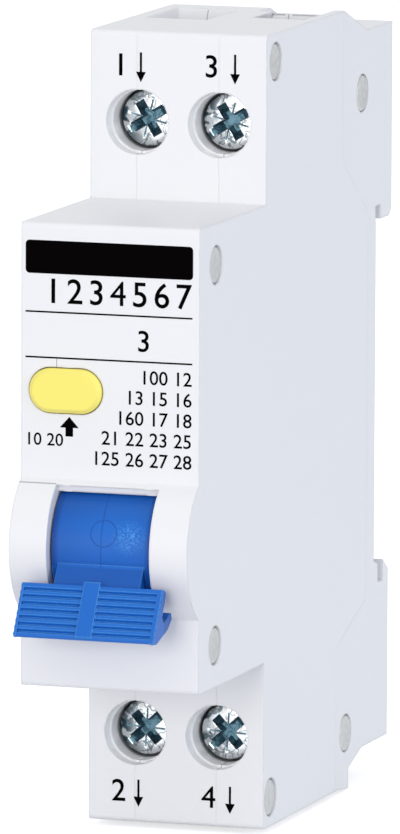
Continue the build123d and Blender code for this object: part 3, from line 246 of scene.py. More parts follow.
def stored(name: str, mesh: Mesh) -> bpy.types.Mesh:
    """Mesh data of an edited mesh, which is freed.

    Args:
        name: the data's name.
        mesh: the edited mesh.

    Returns:
        The new data.
    """
    data = bpy.data.meshes.new(name)
    mesh.to_mesh(data)
    mesh.free()
    return data


def meshed(curve: bpy.types.Curve) -> Mesh:
    """Mesh of a curve or a row of type, which is removed.

    Args:
        curve: the curve.

    Returns:
        The mesh.
    """
    holder = shown(curve.name, curve)
    solid = bpy.data.meshes.new_from_object(holder.evaluated_get(bpy.context.evaluated_depsgraph_get()))
    mesh = bmesh.new()
    mesh.from_mesh(solid)
    bpy.data.objects.remove(holder)
    bpy.data.curves.remove(curve)
    bpy.data.meshes.remove(solid)
    return mesh


def hose(route: Sequence[Spot], radius: float) -> Mesh:
    """Round flexible lead along a smooth route.

    Args:
        route: points that the route bends towards, in millimetres; it starts and ends at the outer two.
        radius: radius of the lead, in millimetres.

    Returns:
        The closed mesh in metres.
    """
    curve = bpy.data.curves.new("route", "CURVE")
    curve.dimensions = "3D"
    line = curve.splines.new("NURBS")
    line.points.add(len(route) - 1)
    for point, (x, y, z) in zip(line.points, route):
        point.co = (x * MM, y * MM, z * MM, 1.0)
    line.order_u = 3
    line.use_endpoint_u = True
    line.resolution_u = 12
    curve.bevel_depth = radius * MM
    curve.bevel_resolution = 4
    curve.use_fill_caps = True
    mesh = meshed(curve)
    bmesh.ops.remove_doubles(mesh, verts=mesh.verts, dist=WELD)
    bmesh.ops.recalc_face_normals(mesh, faces=mesh.faces)
    return mesh


def bar(low: Spot, high: Spot, edge: float = 0.12) -> Mesh:
    """Straight bar with bevelled edges.

    Args:
        low: its lowest corner, in millimetres.
        high: its highest corner, in millimetres.
        edge: width of the bevels, in millimetres.

    Returns:
        The closed mesh in metres.
    """
    mesh = bmesh.new()
    middle = (Vector(low) + Vector(high)) / 2
    size = Vector(high) - Vector(low)
    there = Matrix.Translation(middle * MM) @ Matrix.Diagonal((*(size * MM), 1.0))
    bmesh.ops.create_cube(mesh, size=1.0, matrix=there)
    bmesh.ops.bevel(
        mesh, geom=mesh.edges[:], offset=edge * MM, offset_type="OFFSET", segments=2, profile=0.5,
        affect="EDGES", material=-1)
    return mesh


def slab(outline: Sequence[Point], front: float, thickness: float, corner: float = 0.0) -> Mesh:
    """Flat plate that faces the front, from an outline of (x, z) points.

    Args:
        outline: corners in millimetres, counter-clockwise as seen from the front.
        front: depth of its front face, in millimetres.
        thickness: how thick it is, in millimetres.
        corner: radius of its corners, in millimetres.

    Returns:
        The closed mesh in metres.
    """
    mesh = bmesh.new()
    corners = [mesh.verts.new(Vector((x, front + thickness, z)) * MM) for x, z in outline]
    face = mesh.faces.new(corners)
    if corner:
        bmesh.ops.bevel(
            mesh, geom=corners, offset=corner * MM, offset_type="OFFSET", segments=6, profile=0.5,
            affect="VERTICES", material=-1)
        face = mesh.faces[:][0]
    raised = bmesh.ops.extrude_face_region(mesh, geom=[face])
    moved = [item for item in raised["geom"] if isinstance(item, bmesh.types.BMVert)]
    bmesh.ops.translate(mesh, verts=moved, vec=Vector((0.0, -thickness * MM, 0.0)))
    bmesh.ops.recalc_face_normals(mesh, faces=mesh.faces)
    return mesh


def swivel(mesh: Mesh, degrees: float) -> None:
    """Turns a mesh about the line through the origin that runs from front to rear."""
    turn = Matrix.Rotation(math.radians(degrees), 3, "Y")
    bmesh.ops.rotate(mesh, verts=mesh.verts, cent=ORIGIN, matrix=turn)


def merge(meshes: Sequence[Mesh]) -> Mesh:
    """One mesh that holds several; the others are freed.

    Args:
        meshes: the meshes to join, at least one.

    Returns:
        The joined mesh.
    """
    whole = meshes[0]
    for extra in meshes[1:]:
        carrier = stored("carrier", extra)
        whole.from_mesh(carrier)
        bpy.data.meshes.remove(carrier)
    return whole


def carve(mesh: Mesh, cutter: Mesh) -> Mesh:
    """Mesh less a cutter; both are freed.

    Args:
        mesh: the closed mesh that is cut.
        cutter: the closed mesh that is taken away.

    Returns:
        The cut mesh.
    """
    blank, tool = (shown(name, stored(name, shape)) for name, shape in (("blank", mesh), ("cutter", cutter)))
    cut = blank.modifiers.new("cut", "BOOLEAN")
    cut.operation = "DIFFERENCE"
    cut.solver = "EXACT"
    cut.object = tool
    result = bmesh.new()
    result.from_object(blank, bpy.context.evaluated_depsgraph_get())
    for thing in (blank, tool):
        data = thing.data
        bpy.data.objects.remove(thing)
        bpy.data.meshes.remove(data)
    return result


def piece(
    name: str, mesh: Mesh, body: str | None, finishes: Sequence[bpy.types.Material],
    smooth: float = 40.0,
) -> bpy.types.Object:
    """Scene object of a mesh, at the origin.

    Args:
        name: the piece's name.
        mesh: its shape, freed here.
        body: the body that carries it, or None for a piece that no body carries.
        finishes: one material for each material index of the mesh.
        smooth: edges sharper than this many degrees stay sharp.

    Returns:
        The new object.
    """
    data = stored(name, mesh)
    data.shade_smooth()
    data.set_sharp_from_angle(angle=math.radians(smooth))
    for finish in finishes:
        data.materials.append(finish)
    made = shown(name, data)
    if body:
        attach(made, body)
    LOG.info("%s: %d faces on %s", name, len(data.polygons), body or "two bodies")
    return made


# Shader helpers


class Graph:
    """A node tree with short calls that add and join its nodes; a value is an output or a number."""

    def __init__(self, tree: bpy.types.NodeTree) -> None:
        """Wraps a node tree."""
        self.tree = tree

    def feed(self, end: Socket, value: object) -> None:
        """Links an input to an output, or sets the input's own value.

        Args:
            end: the input.
            value: an output or a plain value.
        """
        if isinstance(value, Socket):
            self.tree.links.new(value, end)
        else:
            end.default_value = value

    def add(
        self, kind: str, values: dict[str | int, object] | None = None, **settings: object,
    ) -> bpy.types.Node:
        """Adds a node.

        Args:
            kind: the node's type name without its common start.
            values: an output or a plain value for each input, by name or index.
            settings: values of its own properties.

        Returns:
            The new node.
        """
        node = self.tree.nodes.new("ShaderNode" + kind)
        for key, value in settings.items():
            setattr(node, key, value)
        for key, value in (values or {}).items():
            self.feed(node.inputs[key], value)
        return node

    def math(self, operation: str, first: object, second: object = 0.0, clamp: bool = False) -> Socket:
        """Adds a Math node; clamp keeps its result between 0 and 1."""
        return self.add("Math", {0: first, 1: second}, operation=operation, use_clamp=clamp).outputs[0]

    def chain(self, operation: str, *values: object) -> Socket:
        """Joins two or more values with one operation."""
        return reduce(partial(self.math, operation), values)

    def times(self, *values: object) -> Socket:
        """Product of two or more values."""
        return self.chain("MULTIPLY", *values)

    def largest(self, *values: object) -> Socket:
        """Largest of two or more values."""
        return self.chain("MAXIMUM", *values)

    def near(self, value: Socket, middle: float, half: float) -> Socket:
        """Mask of where a value lies less than a half width from a middle."""
        return self.math("LESS_THAN", self.math("ABSOLUTE", self.math("SUBTRACT", value, middle)), half)

    def between(self, value: Socket, low: float, high: float) -> Socket:
        """Mask of where a value lies between two limits."""
        return self.times(self.math("GREATER_THAN", value, low), self.math("LESS_THAN", value, high))

    def gained(self, value: Socket, start: float, gain: float) -> Socket:
        """How far a value is past a start, times a gain, between 0 and 1."""
        return self.math("MULTIPLY", self.math("SUBTRACT", value, start), gain, clamp=True)

    def ramp(self, value: Socket, start: float, width: float) -> Socket:
        """Value that rises from 0 to 1 over a width that begins at a start."""
        return self.math("DIVIDE", self.math("SUBTRACT", value, start), width, clamp=True)

    def fade(self, distance: Socket, width: float) -> Socket:
        """Value that falls from 1 to 0 over a distance."""
        return self.math("SUBTRACT", 1.0, self.math("DIVIDE", distance, width), clamp=True)

    def reach(self, values: Sequence[Socket], centre: Point) -> Socket:
        """Distance of two coordinates from a point of the same plane."""
        offsets = [self.math("SUBTRACT", value, middle) for value, middle in zip(values, centre)]
        return self.math("SQRT", self.chain("ADD", *(self.times(offset, offset) for offset in offsets)))

    def distance(self, spot: Socket, centre: Spot) -> Socket:
        """Distance of a place from a point."""
        return self.add("VectorMath", {0: spot, 1: centre}, operation="DISTANCE").outputs["Value"]

    def spot(self) -> Socket:
        """Place in the object's own coordinates."""
        return self.add("TexCoord").outputs["Object"]

    def where(self) -> tuple[Socket, ...]:
        """Place in the object's own coordinates, then its x, y and z."""
        spot = self.spot()
        return spot, *self.add("SeparateXYZ", {"Vector": spot}).outputs

    def noise(self, spot: Socket, scale: object, detail: float, **values: float) -> Socket:
        """Value of a noise pattern; its further inputs are given by name."""
        return self.add("TexNoise", {"Vector": spot, "Scale": scale, "Detail": detail, **values}).outputs[0]

    def blend(self, factor: Socket, first: object, second: object) -> Socket:
        """Adds a colour Mix node.

        Args:
            factor: how much of the second colour shows.
            first: a colour or an output.
            second: a colour or an output.

        Returns:
            The mixed colour.
        """
        values = {0: factor}
        for index, value in ((6, first), (7, second)):
            values[index] = value if isinstance(value, Socket) else (*value, 1.0)
        return self.add("Mix", values, data_type="RGBA").outputs[2]

    def relief(self, height: Socket, depth: object, normal: Socket, **settings: object) -> Socket:
        """Normal with a pattern that stands out by a depth in metres."""
        values = {"Strength": 1.0, "Distance": depth, "Height": height, "Normal": normal}
        return self.add("Bump", values, **settings).outputs["Normal"]


def emptied(owner: bpy.types.Material | bpy.types.World) -> Graph:
    """Graph of a material or a world, with no nodes left.

    Args:
        owner: the material or world.

    Returns:
        Its graph.
    """
    owner.use_nodes = True
    owner.node_tree.nodes.clear()
    return Graph(owner.node_tree)


def surface_group() -> bpy.types.NodeTree:
    """Fine grain, softened edges and slow patches, shared by every finish.

    Returns:
        A group with a normal, an edge mask, a patch value and a grain value.
    """
    tree = bpy.data.node_groups.new("surface detail", "ShaderNodeTree")
    for label in ("Grain Scale", "Grain Height", "Edge Radius", "Patch Scale"):
        tree.interface.new_socket(name=label, in_out="INPUT", socket_type="NodeSocketFloat")
    for label, kind in (("Normal", "Vector"), ("Edge", "Float"), ("Patch", "Float"), ("Grain", "Float")):
        tree.interface.new_socket(name=label, in_out="OUTPUT", socket_type="NodeSocket" + kind)
    given, end = tree.nodes.new("NodeGroupInput").outputs, tree.nodes.new("NodeGroupOutput").inputs
    graph = Graph(tree)
    spot = graph.spot()
    grain = graph.noise(spot, given["Grain Scale"], 3.0, Roughness=0.6)
    patch = graph.noise(spot, given["Patch Scale"], 4.0, Roughness=0.55)
    soft = graph.add("Bevel", {"Radius": given["Edge Radius"]}, samples=4).outputs["Normal"]
    plain = graph.add("NewGeometry").outputs["Normal"]
    agreement = graph.add("VectorMath", {0: soft, 1: plain}, operation="DOT_PRODUCT").outputs["Value"]
    edge = graph.math("MULTIPLY", graph.math("SUBTRACT", 1.0, agreement), EDGE_GAIN, clamp=True)
    normal = graph.relief(grain, given["Grain Height"], soft)
    for label, value in (("Normal", normal), ("Edge", edge), ("Patch", patch), ("Grain", grain)):
        graph.feed(end[label], value)
    return tree


@dataclass(frozen=True)
class Finish:
    """Surface of one kind of material.

    Attributes:
        name: the material's name.
        colour: its main colour, linear.
        wear_and_highlight: its colour along edges, linear; wear, and on the white housing and blue handle a
            painted highlight.
        shade: its colour in slow patches, linear.
        roughness: mean roughness.
        roughness_spread: how far the roughness varies.
        metallic: 1 for bare metal.
        grain_scale: fineness of its grain, per metre.
        grain_height: height of its grain, in metres.
        edge_radius: radius that its edges seem to have, in metres.
        edge_wear_and_highlight: how much of that edge colour shows along edges.
        patch_scale: size of its slow patches, per metre.
        patch_amount: how strongly the patches show.
        coat: clear coat over it.
        specular: level of its mirror-like reflection.
    """

    name: str
    colour: Colour
    wear_and_highlight: Colour
    shade: Colour
    roughness: float = 0.4
    roughness_spread: float = 0.08
    metallic: float = 0.0
    grain_scale: float = 3000.0
    grain_height: float = 0.000003
    edge_radius: float = 0.0002
    edge_wear_and_highlight: float = 0.3
    patch_scale: float = 90.0
    patch_amount: float = 0.3
    coat: float = 0.0
    specular: float = 0.5

    def detail(self, graph: Graph, group: bpy.types.NodeTree) -> bpy.types.Node:
        """Places the shared surface group with this finish's values.

        Args:
            graph: the material's graph.
            group: the shared surface group.

        Returns:
            The group's node.
        """
        values = {
            "Grain Scale": self.grain_scale, "Grain Height": self.grain_height,
            "Edge Radius": self.edge_radius, "Patch Scale": self.patch_scale}
        return graph.add("Group", values, node_tree=group)

    def extra(self, graph: Graph, colour: Socket, normal: Socket) -> Look:
        """Colour and normal after any further pattern; a plain finish has none."""
        return colour, normal

    def make(self, group: bpy.types.NodeTree) -> bpy.types.Material:
        """Builds the material.

        Args:
            group: the shared surface group.

        Returns:
            The material.
        """
        material = bpy.data.materials.new(self.name)
        material.diffuse_color = (*self.colour, 1.0)
        graph = emptied(material)
        detail = self.detail(graph, group).outputs
        patch = graph.math("MULTIPLY", detail["Patch"], self.patch_amount, clamp=True)
        # Edge colour: wear, and on some finishes a painted highlight along edges.
        wear_and_highlight_amount = graph.math("MULTIPLY", detail["Edge"], self.edge_wear_and_highlight, clamp=True)
        mixed = graph.blend(wear_and_highlight_amount, graph.blend(patch, self.colour, self.shade), self.wear_and_highlight)
        colour, normal = self.extra(graph, mixed, detail["Normal"])
        spread = graph.math("SUBTRACT", detail["Grain"], NOISE_MIDDLE)
        change = graph.times(spread, self.roughness_spread * 2.0)
        shader = graph.add("BsdfPrincipled", {
            "Base Color": colour, "Normal": normal, "Metallic": self.metallic, "Coat Weight": self.coat,
            "Specular IOR Level": self.specular,
            "Roughness": graph.math("ADD", change, self.roughness, clamp=True)})
        graph.add("OutputMaterial", {"Surface": shader.outputs["BSDF"]})
        return material


@dataclass(frozen=True)
class StretchedFinish(Finish):
    """Finish with fine lines along one direction, as on drawn or brushed metal.

    Attributes:
        stretch: fineness of the lines along x, y and z, per metre.
        line_height: height of the lines, in metres.
    """

    stretch: Spot = (6000.0, 300.0, 6000.0)
    line_height: float = 0.000004

    def extra(self, graph: Graph, colour: Socket, normal: Socket) -> Look:
        """Adds the fine lines to the normal.

        Args:
            graph: the material's graph.
            colour: the colour so far.
            normal: the normal so far.

        Returns:
            The colour and the normal to use.
        """
        along = graph.add("Mapping", {"Vector": graph.spot(), "Scale": self.stretch}).outputs["Vector"]
        return colour, graph.relief(graph.noise(along, 1.0, 2.0), self.line_height, normal)


@dataclass(frozen=True)
class RingedFinish(Finish):
    """Finish with even ridges along one direction, as on wound wire, strip or braid.

    Attributes:
        direction: which coordinate the ridges follow.
        ridge_scale: how close the ridges lie, per metre.
        ridge_height: height of the ridges, in metres.
        gap: how much of the shade colour shows at the bottom between two ridges, as painted shade.
    """

    direction: str = "Y"
    ridge_scale: float = 2000.0
    ridge_height: float = 0.00005
    gap: float = 0.75

    def extra(self, graph: Graph, colour: Socket, normal: Socket) -> Look:
        """Adds the ridges to the normal and paints shade into the gaps between them.

        Args:
            graph: the material's graph.
            colour: the colour so far.
            normal: the normal so far.

        Returns:
            The colour and the normal to use.
        """
        values = {"Vector": graph.spot(), "Scale": self.ridge_scale, "Distortion": 0.4, "Detail": 1.0}
        wave = graph.add("TexWave", values, wave_type="BANDS", bands_direction=self.direction).outputs["Fac"]
        # Painted shade at the bottom between two ridges.
        dark = graph.math("SUBTRACT", self.gap, wave, clamp=True)
        return graph.blend(dark, colour, self.shade), graph.relief(wave, self.ridge_height, normal)


@dataclass(frozen=True)
class ShellFinish(Finish):
    """Housing's plastic; the joints of the three mouldings stay flush and unrounded.

    Attributes:
        joint: distance of both joints from the middle plane, in metres.
        joint_half: half the width of the strip left unrounded at each joint, in metres.
        line_half: half the width of every dark line, in metres.
        entry: lowest and highest height, and least depth, at which the joints show in the wire entries.
        holes: distance across and up from the middle to the driver holes' axes, in metres.
        hole_radius: radius around these axes that is taken as inside, in metres.
        hole_front: depth behind which these walls begin, in metres.
        hole_rear: depth behind which they get painted shade, in metres.
        crease: depth limit, height and distance from the middle of the painted shade line in the crease over
            the left cheek.
        tick: place across, foot and top of the short joint line above the test button, in metres.
        line_colour: colour of the dark lines, linear; also of the painted shade in the crease and at the
            holes' rear.
        line_share: how much of that colour shows.
        hole_colour: paler colour painted on the driver holes' walls as painted light, linear.
    """

    joint: float = 0.0042
    joint_half: float = 0.0004
    line_half: float = 0.00005
    entry: Spot = (0.0346, 0.0389, -0.0318)
    holes: Point = (0.0042, 0.0301)
    hole_radius: float = 0.0034
    hole_front: float = -0.0357
    hole_rear: float = -0.0324
    crease: Spot = (-0.0555, -0.0026, -0.0052)
    tick: Spot = (-0.0054, 0.0086, 0.0094)
    line_colour: Colour = (0.2, 0.2, 0.21)
    line_share: float = 0.65
    hole_colour: Colour = (0.97, 0.97, 0.975)

    def detail(self, graph: Graph, group: bpy.types.NodeTree) -> bpy.types.Node:
        """Places the shared surface group with square edges along both joints.

        Args:
            graph: the material's graph.
            group: the shared surface group.

        Returns:
            The group's node.
        """
        node = super().detail(graph, group)
        offset = graph.math("SUBTRACT", graph.math("ABSOLUTE", graph.where()[1]), self.joint)
        clear = graph.math("GREATER_THAN", graph.math("ABSOLUTE", offset), self.joint_half)
        graph.feed(node.inputs["Edge Radius"], graph.times(clear, self.edge_radius))
        return node

    def extra(self, graph: Graph, colour: Socket, normal: Socket) -> Look:
        """Adds the dark lines, painted light on the driver holes' walls and painted shade on their rear
        parts.

        The lines are the joints in the openings, a painted shade line in the crease over the left cheek and
        the tick over the button.

        Args:
            graph: the material's graph.
            colour: the colour so far.
            normal: the normal so far.

        Returns:
            The colour and the normal to use.
        """
        _, x, y, z = graph.where()
        across, level = (graph.math("ABSOLUTE", value) for value in (x, z))
        by_axis = graph.math("LESS_THAN", graph.reach((across, level), self.holes), self.hole_radius)
        in_hole = graph.times(by_axis, graph.math("GREATER_THAN", y, self.hole_front))
        # Painted shade on the rear parts of the driver holes.
        rear = graph.times(graph.math("GREATER_THAN", y, self.hole_rear), in_hole)
        foot, rim, mouth = self.entry
        in_entry = graph.times(graph.between(z, foot, rim), graph.math("GREATER_THAN", y, mouth))
        joint = graph.times(graph.near(across, self.joint, self.line_half), graph.largest(in_hole, in_entry))
        front, height, inner = self.crease
        on_front = graph.math("LESS_THAN", y, front)
        on_cheek = graph.times(on_front, graph.math("LESS_THAN", x, inner))
        # Painted shade line in the crease over the left cheek.
        crease = graph.times(graph.near(z, height, self.line_half), on_cheek)
        middle, low, high = self.tick
        tick = graph.times(graph.near(x, middle, self.line_half), graph.between(z, low, high), on_front)
        # Joint and tick lines are dark joints; the crease and hole rear marks are painted shade.
        dark = graph.times(graph.largest(joint, crease, tick, rear), self.line_share)
        # Painted light: the driver holes' walls are paler than the housing.
        lit_hole_walls = graph.blend(in_hole, colour, self.hole_colour)
        return graph.blend(dark, lit_hole_walls, self.line_colour), normal


@dataclass(frozen=True)
class VeinedFinish(Finish):
    """Bright plating crossed by fine dark curved lines and slow waves, with a painted dark reflection on one
    side.

    Attributes:
        vein_scale: how close the lines lie, per metre.
        vein_half: half the width of a line, as a share of the pattern's range.
        vein_share: how much of the shade shows in a line.
        wave_height: height of the waves, in metres.
        screw_centre: distance of the screws' axes from the middle plane, in metres.
        dark_reflection_reach: distance from a screw's axis over which the painted dark reflection deepens, in
            metres.
        dark_reflection: how strongly the painted dark reflection shows.
        dark_reflection_colour: its colour, linear.
        blotch: level of the pattern at which the painted dark reflection begins, and how fast it grows from
            there.
    """

    vein_scale: float = 900.0
    vein_half: float = 0.022
    vein_share: float = 0.75
    wave_height: float = 0.00006
    screw_centre: float = 0.0042
    dark_reflection_reach: float = 0.002
    dark_reflection: float = 0.0
    dark_reflection_colour: Colour = (0.04, 0.09, 0.12)
    blotch: Point = (0.42, 7.0)

    def extra(self, graph: Graph, colour: Socket, normal: Socket) -> Look:
        """Adds the dark lines and the painted dark reflection to the colour, and the waves to the normal.

        Args:
            graph: the material's graph.
            colour: the colour so far.
            normal: the normal so far.

        Returns:
            The colour and the normal to use.
        """
        spot, x, _, _ = graph.where()
        waves = graph.noise(spot, self.vein_scale, 1.5, Distortion=0.6)
        # Painted dark reflection, blotched, on the left side of each screw head.
        axis = graph.times(graph.math("SIGN", x), self.screw_centre)
        side = graph.math("DIVIDE", graph.math("SUBTRACT", axis, x), self.dark_reflection_reach)
        blotched = graph.times(side, graph.gained(waves, *self.blotch))
        dark_reflection_mask = graph.math("MULTIPLY", blotched, self.dark_reflection, clamp=True)
        tinted = graph.blend(dark_reflection_mask, colour, self.dark_reflection_colour)
        line = graph.times(graph.near(waves, NOISE_MIDDLE, self.vein_half), self.vein_share)
        return graph.blend(line, tinted, self.shade), graph.relief(waves, self.wave_height, normal)


@dataclass(frozen=True)
class HandleFinish(Finish):
    """Handle's plastic, with the mould's marks on the barrel, painted shade on the barrel and neck, and a
    painted sheen patch.

    Attributes:
        ring_centre: middle of the ejector ring, in metres.
        ring_radius: radius of the ring, in metres.
        line_half: half the width of both marks, in metres.
        mark_depth: depth of both marks, in metres.
        mark_share: how much of the dark colour shows in them.
        barrel_foot: height above which the barrel begins, in metres.
        left_reach: distance from the middle to the left over which the barrel's painted shade deepens, in
            metres.
        top: height above which the barrel's painted shade begins, and over what height it deepens, in metres.
        rim: distance from the middle at which painted shade begins at the barrel's ends, and over what width,
            in metres.
        neck_front: depth behind which the neck below the barrel gets painted shade, in metres.
        neck_share: how much of the dark colour shows there.
        dark: colour of the painted shade and of both marks, linear.
        patch_centre: middle of the painted sheen patch beside the ring, in metres.
        patch_reach: its radius, in metres.
        patch_share: how much of the edge colour shows in it as painted sheen.
        fleck_scale: fineness of its flecks, per metre.
        fleck: level of the pattern at which a fleck begins, and how fast it grows from there.
        crease: depth and height of the corner between barrel and neck, in metres.
        crease_reach: how far the painted shade in that corner reaches, in metres.
    """

    ring_centre: Spot = (0.0002, -0.0583, -0.0069)
    ring_radius: float = 0.0013
    line_half: float = 0.00006
    mark_depth: float = 0.00003
    mark_share: float = 0.5
    barrel_foot: float = -0.0102
    left_reach: float = 0.013
    top: Point = (-0.0062, 0.006)
    rim: Point = (0.0043, 0.0006)
    neck_front: float = -0.0606
    neck_share: float = 0.45
    dark: Colour = (0.002, 0.06, 0.3)
    patch_centre: Spot = (0.0028, -0.0583, -0.0072)
    patch_reach: float = 0.0019
    patch_share: float = 0.7
    fleck_scale: float = 4500.0
    fleck: Point = (0.42, 4.0)
    crease: Point = (-0.0581, -0.00975)
    crease_reach: float = 0.0005

    def extra(self, graph: Graph, colour: Socket, normal: Socket) -> Look:
        """Adds the parting line and the ring as shallow marks, a painted sheen patch and painted shade.

        Args:
            graph: the material's graph.
            colour: the colour so far.
            normal: the normal so far.

        Returns:
            The colour and the normal to use.
        """
        spot, x, y, z = graph.where()
        barrel = graph.math("GREATER_THAN", z, self.barrel_foot)
        line = graph.times(graph.near(x, 0.0, self.line_half), barrel)
        ring = graph.near(graph.distance(spot, self.ring_centre), self.ring_radius, self.line_half)
        mark = graph.largest(line, ring)
        # Painted shade: darker towards the barrel's left end, its top and its ends beside the cheeks, and on
        # the neck behind its front.
        rim = graph.ramp(graph.math("ABSOLUTE", x), *self.rim)
        painted_shade = graph.chain("ADD", graph.ramp(x, 0.0, -self.left_reach), graph.ramp(z, *self.top), rim)
        barrel_shade = graph.math("MULTIPLY", painted_shade, barrel, clamp=True)
        behind = graph.times(graph.math("GREATER_THAN", y, self.neck_front), self.neck_share)
        neck = graph.times(graph.math("SUBTRACT", 1.0, barrel), behind)
        with_painted_shade = graph.blend(graph.math("ADD", barrel_shade, neck, clamp=True), colour, self.dark)
        # Painted sheen: pale flecks in a round patch beside the ring.
        inside = graph.fade(graph.distance(spot, self.patch_centre), self.patch_reach)
        flecks = graph.gained(graph.noise(spot, self.fleck_scale, 2.0), *self.fleck)
        with_painted_sheen = graph.blend(graph.times(inside, flecks, self.patch_share), with_painted_shade, self.wear_and_highlight)
        # Painted shade in the corner between barrel and neck.
        crease_shade = graph.fade(graph.reach((y, z), self.crease), self.crease_reach)
        with_crease_shade = graph.blend(crease_shade, with_painted_sheen, self.dark)
        marked = graph.blend(graph.times(mark, self.mark_share), with_crease_shade, self.dark)
        return marked, graph.relief(mark, self.mark_depth, normal, invert=True)


